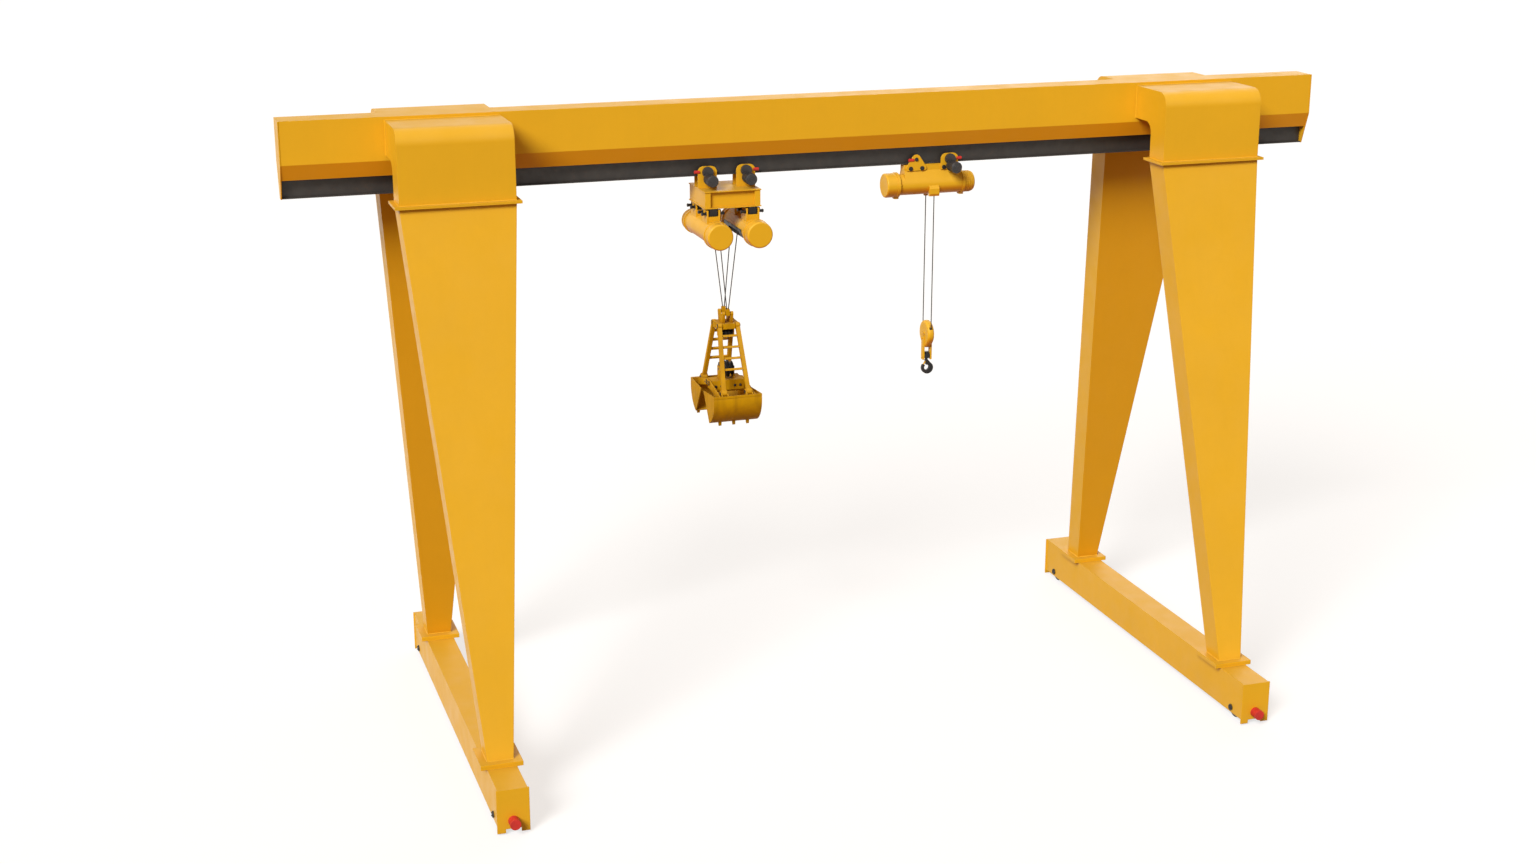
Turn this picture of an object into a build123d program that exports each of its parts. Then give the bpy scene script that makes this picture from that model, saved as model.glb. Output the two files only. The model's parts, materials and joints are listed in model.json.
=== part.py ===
from build123d import *
import os
from math import hypot

# Single-girder gantry crane: a box girder on four leaning legs and two wheeled ground beams.
# A grab trolley and a hook trolley run on one track under the girder.
# X is along the girder, front is -Y, Z is up, and the wheel flanges rest on Z = 0.

# Girder and track
GIRDER_LENGTH = 16700
GIRDER_WIDTH = 470
GIRDER_TOP = 9820
GIRDER_SIDE_DEPTH = 630
GIRDER_FOLD_DEPTH = 230
GIRDER_FOOT_WIDTH = 300
GIRDER_WALL = 10
END_PLATE = 16
END_PLATE_LIP = 5
TRACK_DEPTH = 280
TRACK_WIDTH = 124
TRACK_WEB = 10
TRACK_FLANGE = 14

# Leg heads and legs
GAUGE = 12000
HEAD_WIDTH = 1680
HEAD_DEPTH = 460
HEAD_OUTER = 1220
HEAD_TOP_DROP = 50
HEAD_ARM_DEPTH = 515
HEAD_OUTER_RADIUS = 230
HEAD_INNER_RADIUS = 180
HEAD_HEIGHT = 1097
HEAD_FLANGE = 20
HEAD_FLANGE_LIP = 70
LEG_WALL = 10
FOOT_WIDTH = 388
FOOT_DEPTH = 410
FOOT_OUTER = 2784
FOOT_PLATE = 35
FOOT_LIP = 120

# Ground beams, wheels and buffers
BEAM_LENGTH = 7260
BEAM_WIDTH = 440
BEAM_TOP = 700
BEAM_BOTTOM = 90
BEAM_WALL = 10
BEAM_END_PLATE = 20
BEAM_END_LIP = 20
BEAM_END_DROP = 60
RAIL_NOTCH_WIDTH = 230
RAIL_NOTCH_DEPTH = 60
WHEEL_INSET = 360
WHEEL_TREAD_RADIUS = 152
WHEEL_FLANGE_RADIUS = 172
WHEEL_TREAD_WIDTH = 220
WHEEL_FLANGE_WIDTH = 40
WHEEL_HUB_RADIUS = 85
WHEEL_HUB_WIDTH = 340
AXLE_RADIUS = 52
AXLE_PROUD = 18
WHEEL_POCKET_LENGTH = 620
RUNNING_CLEARANCE = 0.05
BUFFER_RADIUS = 80
BUFFER_LENGTH = 150
BUFFER_HEIGHT = 210

# Trolley running gear, shared by both trolleys
TRACK_WHEEL_RADIUS = 60
TRACK_WHEEL_WIDTH = 36
TRACK_WHEEL_GAP = 0.3
WEB_CLEARANCE = 14
PLATE_INNER = 82
PLATE_THICKNESS = 20
PLATE_RISE = 150
PIN_RADIUS = 18
DRIVE_GEAR_RADIUS = 85
DRIVE_GEAR_DEPTH = 55
DRIVE_GEAR_DROP = 15
DRIVE_MOTOR_RADIUS = 80
DRIVE_MOTOR_LENGTH = 250
DRIVE_MOTOR_DROP = 112
DRIVE_BELL_RADIUS = 90
DRIVE_BELL_LENGTH = 70
DRIVE_BELL_ROUND = 12
TROLLEY_BUFFER_RADIUS = 26
TROLLEY_BUFFER_LENGTH = 55
TROLLEY_BUFFER_SEAT = 30
TROLLEY_BUFFER_DROP = 10

# Hoist units: a drum barrel with a motor cap and a gear cap
HOIST_LENGTH = 1500
MOTOR_CAP_LENGTH = 220
MOTOR_CAP_RADIUS = 190
MOTOR_RING_LENGTH = 40
MOTOR_RING_RADIUS = 200
BARREL_RADIUS = 165
GEAR_RING_LENGTH = 40
GEAR_RING_RADIUS = 180
GEAR_CAP_LENGTH = 180
GEAR_CAP_RADIUS = 160
CAP_ROUND = 25
CAP_RIB_COUNT = 3
CAP_RIB_PITCH = 34
CAP_RIB_WIDTH = 14
CAP_RIB_PROUD = 8
ROPE_SLOT_LENGTH = 520
ROPE_SLOT_TOP = 30
ROPE_SLOT_BOTTOM = 120
ROPE_SLOT_REACH = 120
ROPE_START = 163
ROPE_RADIUS = 8
ROPE_SEAT_GAP = 0.3

# Grab trolley
GRAB_X = -1680
GRAB_PLATE_SPACING = 612
GRAB_PLATE_WIDTH = 300
GRAB_PLATE_ROUND = 90
GRAB_FRAME_LENGTH = 900
GRAB_FRAME_WIDTH = 860
GRAB_FRAME_DROP = 185
GRAB_FRAME_DEPTH = 265
GRAB_FRAME_FLANGE = 16
GRAB_FRAME_OVERHANG = 12
GRAB_FRAME_RECESS = 50
GRAB_FRAME_WEB = 16
GRAB_SIDE_BOX = 86
GRAB_FRAME_HOLE = 440
GRAB_HOIST_RATIO = 1.06
GRAB_HOIST_SPACING = 625
GRAB_HOIST_DROP = 370
GRAB_HOIST_FRONT = 810
LUG_SPACING = 600
LUG_THICKNESS = 25
LUG_LENGTH = 270
LUG_GAP = 160
LUG_TOP_GAP = 20
HANGER_LENGTH = 250
HANGER_WIDTH = 120
HANGER_EDGE = 35
LUG_PIN_SPACING = 180
LUG_PIN_RADIUS = 23
LUG_PIN_PROUD = 75
LUG_PIN_DROP = 75

# Grab
GRAB_ROPE_TOP_Y = 170
GRAB_ROPE_END_Y = 110
GRAB_ROPE_END_X = 14
GRAB_ROPE_FALL = 1280
HANGER_PIN_DROP = 70
HANGER_PIN_RADIUS = 14
HANGER_HORN_RADIUS = 35
HANGER_WAIST_Y = 55
HANGER_WAIST_RISE = 100
HANGER_REACH = 85
HANGER_CHEEK = 40
SOCKET_LENGTH = 64
SOCKET_WIDTH = 40
SOCKET_DEPTH = 100
GRAB_HANGER_HEIGHT = 218
GRAB_HEAD_DEPTH = 87
GRAB_HEAD_LENGTH = 356
GRAB_HEAD_WIDTH = 340
ARM_NOTCH_LENGTH = 70
ARM_NOTCH_WIDTH = 70
ARM_PIN_PROUD = 14
ARM_TOP_Y = 150
ARM_PIN_DROP = 32
ARM_TOP_X = 145
ARM_FOOT_Y = 535
ARM_FALL = 980
ARM_FOOT_X = 200
ARM_WIDTH = 62
ARM_THICKNESS = 60
ARM_EYE_RADIUS = 44
ARM_PIN_RADIUS = 20
ARM_FOOT_EYE_RADIUS = 62
ARM_FOOT_SLACK = 24
RUNG_WIDTH = 34
RUNG_THICKNESS = 36
RUNG_COUNT = 4
RUNG_FIRST = 0.155
RUNG_STEP = 0.166
GRAB_SHEAVE_RADIUS = 135
GRAB_SHEAVE_WIDTH = 198
GRAB_SHEAVE_RISE = 160
UPPER_SHEAVE_RADIUS = 90
UPPER_SHEAVE_DROP = 95
SHEAVE_COUNT = 3
SHEAVE_RIM = 12
SHEAVE_GROOVE = 24
SHEAVE_GROOVE_HALF = 9
SHEAVE_SIDE_DROP = 22
SHEAVE_PIN_RADIUS = 24
SHEAVE_SIDE_GAP = 4
CHEEK_THICKNESS = 20
CHEEK_WIDTH = 120
CHEEK_EDGE = 45
BLOCK_LENGTH = 530
BLOCK_WIDTH = 240
BLOCK_DROP = 917
BLOCK_DEPTH = 160
KEEL_LENGTH = 420
KEEL_WIDTH = 180
KEEL_DEPTH = 30
PIVOT_PIN_PROUD = 25
SCOOP_PIVOT_Y = 60
SCOOP_PIVOT_DROP = 45
SCOOP_PIN_RADIUS = 20
SCOOP_EYE_RADIUS = 50
SCOOP_EAR_X = 275
SCOOP_EAR_THICKNESS = 20
SCOOP_WIDTH = 780
SCOOP_WALL = 14
SCOOP_INNER_Y = 70
SCOOP_INNER_DROP = 40
SCOOP_TOP_DROP = 70
SCOOP_RIM_DEPTH = 36
SCOOP_RIM_PROUD = 12
SCOOP_OUTER_Y = 630
SCOOP_LIP_Y = 370
SCOOP_DEPTH = 485
SCOOP_BELLY_Y = 612
SCOOP_BELLY_DROP = 250
TOOTH_WIDTH = 45
TOOTH_LENGTH = 60
TOOTH_ROOT = 80
TOOTH_PITCH = 225
FOOT_LUG_THICKNESS = 16
FOOT_LUG_GAP = 78
FOOT_SIDE_GAP = 0.3
FOOT_LUG_RADIUS = 48
EAR_TOP_DROP = 10
EAR_DEPTH = 130
TOOTH_GAP = 6
TOOTH_TIP = 14

# Hook trolley and hook block
HOOK_X = 1715
HOOK_PLATE_SPACING = 560
HOOK_PLATE_WIDTH = 346
HOOK_PLATE_APEX_RADIUS = 72
HOOK_PLATE_FOOT_RADIUS = 40
HOOK_DRIVE_PLATE_WIDTH = 290
HOOK_PLATE_DROP = 105
HOOK_HOIST_DROP = 330
HOOK_HOIST_START = -785
SADDLE_START = -475
SADDLE_END = 375
SADDLE_TAPER = 70
SADDLE_TAPER_DROP = 150
SADDLE_FLARE_WIDTH = 302
SADDLE_FLARE_RISE = 66
SADDLE_RISE = 75
CROSS_ROD_SPACING = 190
CROSS_ROD_RISE = 37
CROSS_ROD_RADIUS = 24
CROSS_ROD_PROUD = 14
HOOK_ROPE_X = 1715
HOOK_ROPE_Y = 170
ROPE_GUIDE_LENGTH = 160
ROPE_GUIDE_REACH = 200
ROPE_GUIDE_LIP = 185
ROPE_GUIDE_INNER = 130
ROPE_GUIDE_TOP = 10
ROPE_GUIDE_SHOULDER = 60
ROPE_GUIDE_CORNER = 140
ROPE_GUIDE_BOTTOM = 178
FOOT_BOSS_LENGTH = 70
FOOT_BOSS_WIDTH = 90
FOOT_BOSS_DROP = 16
ROPE_OUTLET_TOP = 60
ROPE_OUTLET_RADIUS = 14
HOOK_ROPE_FALL = 2435
HOOK_SHEAVE_RADIUS = 180
HOOK_SHEAVE_WIDTH = 50
HOOK_SHEAVE_SLOT = 58
HOOK_SHEAVE_PIN = 25
HOOK_SLOT_RADIUS = 188
HOOK_BLOCK_RADIUS = 205
HOOK_BLOCK_TAIL = 120
HOOK_BLOCK_TAIL_RADIUS = 120
HOOK_BLOCK_WIDTH = 110
HOOK_BLOCK_ROUND = 40
STRAP_WIDTH = 90
STRAP_GAP = 100
STRAP_TOP_DROP = 40
STRAP_THICKNESS = 25
STRAP_DROP = 440
CROSSHEAD_DROP = 380
CROSSHEAD_SIZE = 70
SHANK_RADIUS = 24
SHANK_NUT_RADIUS = 40
SHANK_NUT_HEIGHT = 34
HOOK_DROP = 680
HOOK_BASE_THICKNESS = 62
HOOK_BOWL_RADIUS = 44
HOOK_BODY_RADIUS = 98
HOOK_BODY_SHIFT = 14
HOOK_SHOULDER = 94
HOOK_NECK_DROP = 10
HOOK_TIP_RISE = 50
HOOK_THICKNESS = 52
LATCH_DROP = 16
LATCH_WIDTH = 16

TRACK_TOP = GIRDER_TOP - GIRDER_SIDE_DEPTH - GIRDER_FOLD_DEPTH
TRACK_BOTTOM = TRACK_TOP - TRACK_DEPTH
WHEEL_BASE = BEAM_LENGTH - 2 * WHEEL_INSET
HEAD_TOP = GIRDER_TOP - HEAD_TOP_DROP
HEAD_JOINT = HEAD_TOP - HEAD_HEIGHT
PLATE_TOP = TRACK_BOTTOM + PLATE_RISE
GRAB_FRAME_TOP = TRACK_BOTTOM - GRAB_FRAME_DROP
GRAB_FRAME_BOTTOM = GRAB_FRAME_TOP - GRAB_FRAME_DEPTH
GRAB_HOIST_HEIGHT = GRAB_FRAME_BOTTOM - GRAB_HOIST_DROP
LUG_PIN_HEIGHT = GRAB_FRAME_BOTTOM - LUG_PIN_DROP
GRAB_HANGER_TOP = GRAB_HOIST_HEIGHT - GRAB_ROPE_FALL
GRAB_HEAD_TOP = GRAB_HANGER_TOP - GRAB_HANGER_HEIGHT
HANGER_PIN_Z = GRAB_HANGER_TOP - HANGER_PIN_DROP
HANGER_WAIST_Z = GRAB_HEAD_TOP + HANGER_WAIST_RISE
ARM_TOP_Z = GRAB_HEAD_TOP - ARM_PIN_DROP
ARM_FOOT_Z = ARM_TOP_Z - ARM_FALL
UPPER_SHEAVE_HEIGHT = GRAB_HEAD_TOP - GRAB_HEAD_DEPTH - UPPER_SHEAVE_DROP
BLOCK_TOP = GRAB_HEAD_TOP - BLOCK_DROP
GRAB_SHEAVE_HEIGHT = BLOCK_TOP + GRAB_SHEAVE_RISE
SCOOP_PIVOT_Z = BLOCK_TOP - SCOOP_PIVOT_DROP
SCOOP_TOP_Z = SCOOP_PIVOT_Z - SCOOP_TOP_DROP
SCOOP_INNER_Z = SCOOP_TOP_Z - SCOOP_INNER_DROP
SCOOP_LIP_Z = SCOOP_TOP_Z - SCOOP_DEPTH
SCOOP_BELLY_Z = SCOOP_TOP_Z - SCOOP_BELLY_DROP
HOOK_PLATE_BOTTOM = TRACK_BOTTOM - HOOK_PLATE_DROP
HOOK_HOIST_HEIGHT = TRACK_BOTTOM - HOOK_HOIST_DROP
SADDLE_TOP = HOOK_PLATE_BOTTOM + SADDLE_RISE
CROSS_ROD_HEIGHT = HOOK_PLATE_BOTTOM + CROSS_ROD_RISE
HOOK_SHEAVE_Z = HOOK_HOIST_HEIGHT - HOOK_ROPE_FALL
STRAP_BOTTOM = HOOK_SHEAVE_Z - STRAP_DROP
CROSSHEAD_HEIGHT = HOOK_SHEAVE_Z - CROSSHEAD_DROP
HOOK_BOTTOM = HOOK_SHEAVE_Z - HOOK_DROP
LEG_X = GAUGE / 2
LEG_TOP = HEAD_JOINT - HEAD_FLANGE
LEG_FOOT = BEAM_TOP + 2 * FOOT_PLATE
HEAD_Y = HEAD_OUTER - HEAD_DEPTH / 2
FOOT_Y = FOOT_OUTER - FOOT_DEPTH / 2
WHEEL_Y = WHEEL_BASE / 2
TRACK_WHEEL_Z = TRACK_BOTTOM + TRACK_FLANGE + TRACK_WHEEL_GAP + TRACK_WHEEL_RADIUS
PLATE_OUTER = PLATE_INNER + PLATE_THICKNESS
STRAP_OUTER = STRAP_GAP / 2 + STRAP_THICKNESS

SIDES = {"left": -1, "right": 1}
ENDS = {"front": -1, "rear": 1}

os.makedirs("parts", exist_ok=True)


def save(builder, name):
    builder.part.label = name
    export_step(builder.part, f"parts/{name}.step")


def pin_along_x(x0, x1, y, z, radius, mode=Mode.ADD):
    with BuildSketch(Plane.YZ.offset(x0)) as section:
        with Locations((y, z)):
            Circle(radius)
    extrude(section.sketch, amount=x1 - x0, mode=mode)


def pin_along_y(y0, y1, x, z, radius, mode=Mode.ADD):
    with BuildSketch(Plane.XZ.offset(-y0)) as section:
        with Locations((x, z)):
            Circle(radius)
    extrude(section.sketch, amount=y0 - y1, mode=mode)


# Box girder: a folded tube, open at both ends
with BuildPart() as main_girder:
    with BuildSketch(Plane.YZ):
        with BuildLine():
            Polyline(
                (-GIRDER_WIDTH / 2, GIRDER_TOP),
                (GIRDER_WIDTH / 2, GIRDER_TOP),
                (GIRDER_WIDTH / 2, GIRDER_TOP - GIRDER_SIDE_DEPTH),
                (GIRDER_FOOT_WIDTH / 2, TRACK_TOP),
                (-GIRDER_FOOT_WIDTH / 2, TRACK_TOP),
                (-GIRDER_WIDTH / 2, GIRDER_TOP - GIRDER_SIDE_DEPTH),
                close=True,
            )
        make_face()
        offset(amount=-GIRDER_WALL, kind=Kind.INTERSECTION, mode=Mode.SUBTRACT)
    extrude(amount=GIRDER_LENGTH / 2 - END_PLATE, both=True)
save(main_girder, "main_girder")

# I-section track under the girder
with BuildPart() as track_beam:
    with BuildSketch(Plane.YZ):
        with Locations((0, TRACK_TOP - TRACK_DEPTH / 2)):
            Rectangle(TRACK_WEB, TRACK_DEPTH)
        with Locations((0, TRACK_TOP - TRACK_FLANGE / 2), (0, TRACK_BOTTOM + TRACK_FLANGE / 2)):
            Rectangle(TRACK_WIDTH, TRACK_FLANGE)
    extrude(amount=GIRDER_LENGTH / 2 - END_PLATE, both=True)
save(track_beam, "track_beam")

# Tapered plates that close the girder and stop the trolleys
for side, sx in SIDES.items():
    with BuildPart() as end_plate:
        with BuildSketch(Plane.YZ.offset(sx * (GIRDER_LENGTH / 2 - END_PLATE))):
            half = GIRDER_WIDTH / 2 + END_PLATE_LIP
            foot = TRACK_WIDTH / 2 + END_PLATE_LIP
            with BuildLine():
                Polyline(
                    (-half, GIRDER_TOP),
                    (half, GIRDER_TOP),
                    (half, GIRDER_TOP - GIRDER_SIDE_DEPTH),
                    (foot, TRACK_BOTTOM - END_PLATE_LIP),
                    (-foot, TRACK_BOTTOM - END_PLATE_LIP),
                    (-half, GIRDER_TOP - GIRDER_SIDE_DEPTH),
                    close=True,
                )
            make_face()
        extrude(amount=sx * END_PLATE)
    save(end_plate, f"girder_end_plate_{side}")


def head_profile(sy, inset, bottom):
    # Arm out from the girder's side, round corner, then down to the flange
    inner = GIRDER_WIDTH / 2 + inset
    top = HEAD_TOP - inset
    outer = HEAD_OUTER - inset
    back = HEAD_OUTER - HEAD_DEPTH + inset
    under = HEAD_TOP - HEAD_ARM_DEPTH + inset
    with BuildLine() as outline:
        Polyline(
            (sy * inner, top), (sy * outer, top), (sy * outer, bottom),
            (sy * back, bottom), (sy * back, under), (sy * inner, under), close=True,
        )
    make_face(outline.edges())
    fillet(vertices().sort_by_distance((sy * outer, top))[0], HEAD_OUTER_RADIUS - inset)
    fillet(vertices().sort_by_distance((sy * back, under))[0], HEAD_INNER_RADIUS + inset)


def plate_ring(z, thickness, x, y, length, width, hole_length, hole_width):
    with BuildSketch(Plane.XY.offset(z)) as ring:
        with Locations((x, y)):
            Rectangle(length, width)
            Rectangle(hole_length, hole_width, mode=Mode.SUBTRACT)
    extrude(ring.sketch, amount=thickness)


HEAD_PLATE_X = HEAD_WIDTH + 2 * HEAD_FLANGE_LIP
HEAD_PLATE_Y = HEAD_DEPTH + 2 * HEAD_FLANGE_LIP
HEAD_HOLE_X = HEAD_WIDTH - 2 * LEG_WALL
HEAD_HOLE_Y = HEAD_DEPTH - 2 * LEG_WALL

for end, sy in ENDS.items():
    for side, sx in SIDES.items():
        x = sx * LEG_X
        with BuildPart() as leg_head:
            with BuildSketch(Plane.YZ.offset(x)):
                head_profile(sy, 0, HEAD_JOINT)
            extrude(amount=HEAD_WIDTH / 2, both=True)
            with BuildSketch(Plane.YZ.offset(x)):
                head_profile(sy, LEG_WALL, HEAD_JOINT)
            extrude(amount=HEAD_WIDTH / 2 - LEG_WALL, both=True, mode=Mode.SUBTRACT)
            plate_ring(HEAD_JOINT, HEAD_FLANGE, x, sy * HEAD_Y, HEAD_PLATE_X, HEAD_PLATE_Y,
                       HEAD_HOLE_X, HEAD_HOLE_Y)
        save(leg_head, f"leg_head_{end}_{side}")

        with BuildPart() as leg:
            for inset, mode in ((0, Mode.ADD), (LEG_WALL, Mode.SUBTRACT)):
                with BuildSketch(Plane.XY.offset(LEG_FOOT)):
                    with Locations((x, sy * FOOT_Y)):
                        Rectangle(FOOT_WIDTH - 2 * inset, FOOT_DEPTH - 2 * inset)
                with BuildSketch(Plane.XY.offset(LEG_TOP)):
                    with Locations((x, sy * HEAD_Y)):
                        Rectangle(HEAD_WIDTH - 2 * inset, HEAD_DEPTH - 2 * inset)
                loft(ruled=True, mode=mode)
            plate_ring(LEG_TOP, HEAD_FLANGE, x, sy * HEAD_Y, HEAD_PLATE_X, HEAD_PLATE_Y,
                       HEAD_HOLE_X, HEAD_HOLE_Y)
            with BuildSketch(Plane.XY.offset(LEG_FOOT - FOOT_PLATE)):
                with Locations((x, sy * FOOT_Y)):
                    Rectangle(FOOT_WIDTH + 2 * FOOT_LIP, FOOT_DEPTH + 2 * FOOT_LIP)
            extrude(amount=FOOT_PLATE)
        save(leg, f"leg_{end}_{side}")

# Ground beams: welded boxes with seat plates, notched end plates and wheel pockets
for side, sx in SIDES.items():
    x = sx * LEG_X
    beam_mid = (BEAM_TOP + BEAM_BOTTOM) / 2
    with BuildPart() as ground_beam:
        with BuildSketch(Plane.XZ):
            with Locations((x, beam_mid)):
                Rectangle(BEAM_WIDTH, BEAM_TOP - BEAM_BOTTOM)
                Rectangle(BEAM_WIDTH - 2 * BEAM_WALL, BEAM_TOP - BEAM_BOTTOM - 2 * BEAM_WALL,
                          mode=Mode.SUBTRACT)
        extrude(amount=BEAM_LENGTH / 2 - BEAM_END_PLATE, both=True)
        pocket_y = BEAM_LENGTH / 2 - BEAM_END_PLATE - WHEEL_POCKET_LENGTH / 2
        with BuildSketch(Plane.XY.offset(BEAM_BOTTOM)):
            with Locations((x, pocket_y), (x, -pocket_y)):
                Rectangle(BEAM_WIDTH - 2 * BEAM_WALL, WHEEL_POCKET_LENGTH)
        extrude(amount=BEAM_WALL, mode=Mode.SUBTRACT)
        for sy in ENDS.values():
            plate_start = sy * (BEAM_LENGTH / 2 - BEAM_END_PLATE)
            plate_bottom = BEAM_BOTTOM - BEAM_END_DROP
            with BuildSketch(Plane.XZ.offset(-plate_start)):
                with Locations((x, (BEAM_TOP + plate_bottom) / 2)):
                    Rectangle(BEAM_WIDTH + 2 * BEAM_END_LIP, BEAM_TOP - plate_bottom)
                with Locations((x, plate_bottom + RAIL_NOTCH_DEPTH / 2)):
                    Rectangle(RAIL_NOTCH_WIDTH, RAIL_NOTCH_DEPTH, mode=Mode.SUBTRACT)
            extrude(amount=-sy * BEAM_END_PLATE)
            with BuildSketch(Plane.XY.offset(BEAM_TOP)):
                with Locations((x, sy * FOOT_Y)):
                    Rectangle(FOOT_WIDTH + 2 * FOOT_LIP, FOOT_DEPTH + 2 * FOOT_LIP)
            extrude(amount=FOOT_PLATE)
            pin_along_x(x - BEAM_WIDTH, x + BEAM_WIDTH, sy * WHEEL_Y, WHEEL_FLANGE_RADIUS,
                        AXLE_RADIUS + RUNNING_CLEARANCE, Mode.SUBTRACT)
    save(ground_beam, f"ground_beam_{side}")

    with BuildPart() as buffers:
        for sy in ENDS.values():
            pin_along_y(sy * BEAM_LENGTH / 2, sy * (BEAM_LENGTH / 2 + BUFFER_LENGTH), x, BUFFER_HEIGHT,
                        BUFFER_RADIUS)
    save(buffers, f"buffers_{side}")

    for end, sy in ENDS.items():
        centre = (x, sy * WHEEL_Y, WHEEL_FLANGE_RADIUS)
        tread = WHEEL_TREAD_WIDTH / 2
        rim = tread + WHEEL_FLANGE_WIDTH
        hub = WHEEL_HUB_WIDTH / 2
        axle = BEAM_WIDTH / 2 + AXLE_PROUD
        with BuildPart() as travel_wheel:
            with BuildSketch(Plane(origin=centre, x_dir=(1, 0, 0), z_dir=(0, 0, 1))):
                with BuildLine():
                    Polyline(
                        (-axle, 0), (-axle, AXLE_RADIUS), (-hub, AXLE_RADIUS), (-hub, WHEEL_HUB_RADIUS),
                        (-rim, WHEEL_HUB_RADIUS), (-rim, WHEEL_FLANGE_RADIUS), (-tread, WHEEL_FLANGE_RADIUS),
                        (-tread, WHEEL_TREAD_RADIUS), (tread, WHEEL_TREAD_RADIUS),
                        (tread, WHEEL_FLANGE_RADIUS), (rim, WHEEL_FLANGE_RADIUS), (rim, WHEEL_HUB_RADIUS),
                        (hub, WHEEL_HUB_RADIUS), (hub, AXLE_RADIUS), (axle, AXLE_RADIUS), (axle, 0), close=True,
                    )
                make_face()
            revolve(axis=Axis(centre, (1, 0, 0)))
        save(travel_wheel, f"travel_wheel_{end}_{side}")


# Trolley running gear
def track_wheels(centres_x):
    inner = TRACK_WEB / 2 + WEB_CLEARANCE
    for x in centres_x:
        for sy in ENDS.values():
            pin_along_y(sy * inner, sy * (inner + TRACK_WHEEL_WIDTH), x, TRACK_WHEEL_Z, TRACK_WHEEL_RADIUS)
            pin_along_y(sy * inner, sy * PLATE_OUTER, x, TRACK_WHEEL_Z, PIN_RADIUS)


def wheel_bores(centres_x):
    for x in centres_x:
        pin_along_y(-PLATE_OUTER, PLATE_OUTER, x, TRACK_WHEEL_Z, PIN_RADIUS + RUNNING_CLEARANCE,
                    Mode.SUBTRACT)


def travel_drive(x):
    # Gear case on the plate, then the motor with its end bell below the wheel's axis
    gear_face = -PLATE_OUTER
    motor_start = gear_face - DRIVE_GEAR_DEPTH
    motor_end = motor_start - DRIVE_MOTOR_LENGTH
    motor_z = TRACK_WHEEL_Z - DRIVE_MOTOR_DROP
    pin_along_y(gear_face, motor_start, x, TRACK_WHEEL_Z - DRIVE_GEAR_DROP, DRIVE_GEAR_RADIUS)
    pin_along_y(motor_start, motor_end, x, motor_z, DRIVE_MOTOR_RADIUS)
    pin_along_y(motor_end + DRIVE_BELL_LENGTH, motor_end, x, motor_z, DRIVE_BELL_RADIUS)
    fillet(edges().group_by(Axis.Y)[0], DRIVE_BELL_ROUND)


def trolley_buffers(left_x, right_x, plates):
    # Rods whose slotted ends sit on the edges of the outer plates
    plate_mid = (PLATE_INNER + PLATE_OUTER) / 2
    for sy in ENDS.values():
        for start, sx in ((left_x, -1), (right_x, 1)):
            pin_along_x(start - sx * TROLLEY_BUFFER_SEAT, start + sx * TROLLEY_BUFFER_LENGTH, sy * plate_mid,
                        TRACK_WHEEL_Z - TROLLEY_BUFFER_DROP, TROLLEY_BUFFER_RADIUS)
    add(plates.part, mode=Mode.SUBTRACT)


def hoist_body(origin, direction, ratio=1):
    # Turned body along its own axis, from the motor cap to the gear cap
    barrel_start = MOTOR_CAP_LENGTH
    gear_start = HOIST_LENGTH - GEAR_CAP_LENGTH
    ribs = []
    for i in range(CAP_RIB_COUNT):
        rib = gear_start + (i + 1) * CAP_RIB_PITCH
        ribs += [
            (rib, GEAR_CAP_RADIUS), (rib, GEAR_CAP_RADIUS + CAP_RIB_PROUD),
            (rib + CAP_RIB_WIDTH, GEAR_CAP_RADIUS + CAP_RIB_PROUD), (rib + CAP_RIB_WIDTH, GEAR_CAP_RADIUS),
        ]
    outline = [
        (0, 0), (0, MOTOR_CAP_RADIUS), (barrel_start - MOTOR_RING_LENGTH, MOTOR_CAP_RADIUS),
        (barrel_start - MOTOR_RING_LENGTH, MOTOR_RING_RADIUS), (barrel_start, MOTOR_RING_RADIUS),
        (barrel_start, BARREL_RADIUS), (gear_start - GEAR_RING_LENGTH, BARREL_RADIUS),
        (gear_start - GEAR_RING_LENGTH, GEAR_RING_RADIUS), (gear_start, GEAR_RING_RADIUS),
        (gear_start, GEAR_CAP_RADIUS), *ribs, (HOIST_LENGTH, GEAR_CAP_RADIUS), (HOIST_LENGTH, 0),
    ]
    with BuildSketch(Plane(origin=origin, x_dir=direction, z_dir=(0, 0, 1))) as half:
        with BuildLine():
            Polyline(*[(along * ratio, radius * ratio) for along, radius in outline], close=True)
        make_face()
        fillet(vertices().sort_by_distance((0, MOTOR_CAP_RADIUS * ratio))[0], CAP_ROUND)
        fillet(vertices().sort_by_distance((HOIST_LENGTH * ratio, GEAR_CAP_RADIUS * ratio))[0], 2 * CAP_ROUND)
    revolve(half.sketch, axis=Axis(origin, direction))


# Grab trolley
GRAB_PLATE_X = [GRAB_X - GRAB_PLATE_SPACING / 2, GRAB_X + GRAB_PLATE_SPACING / 2]

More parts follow.
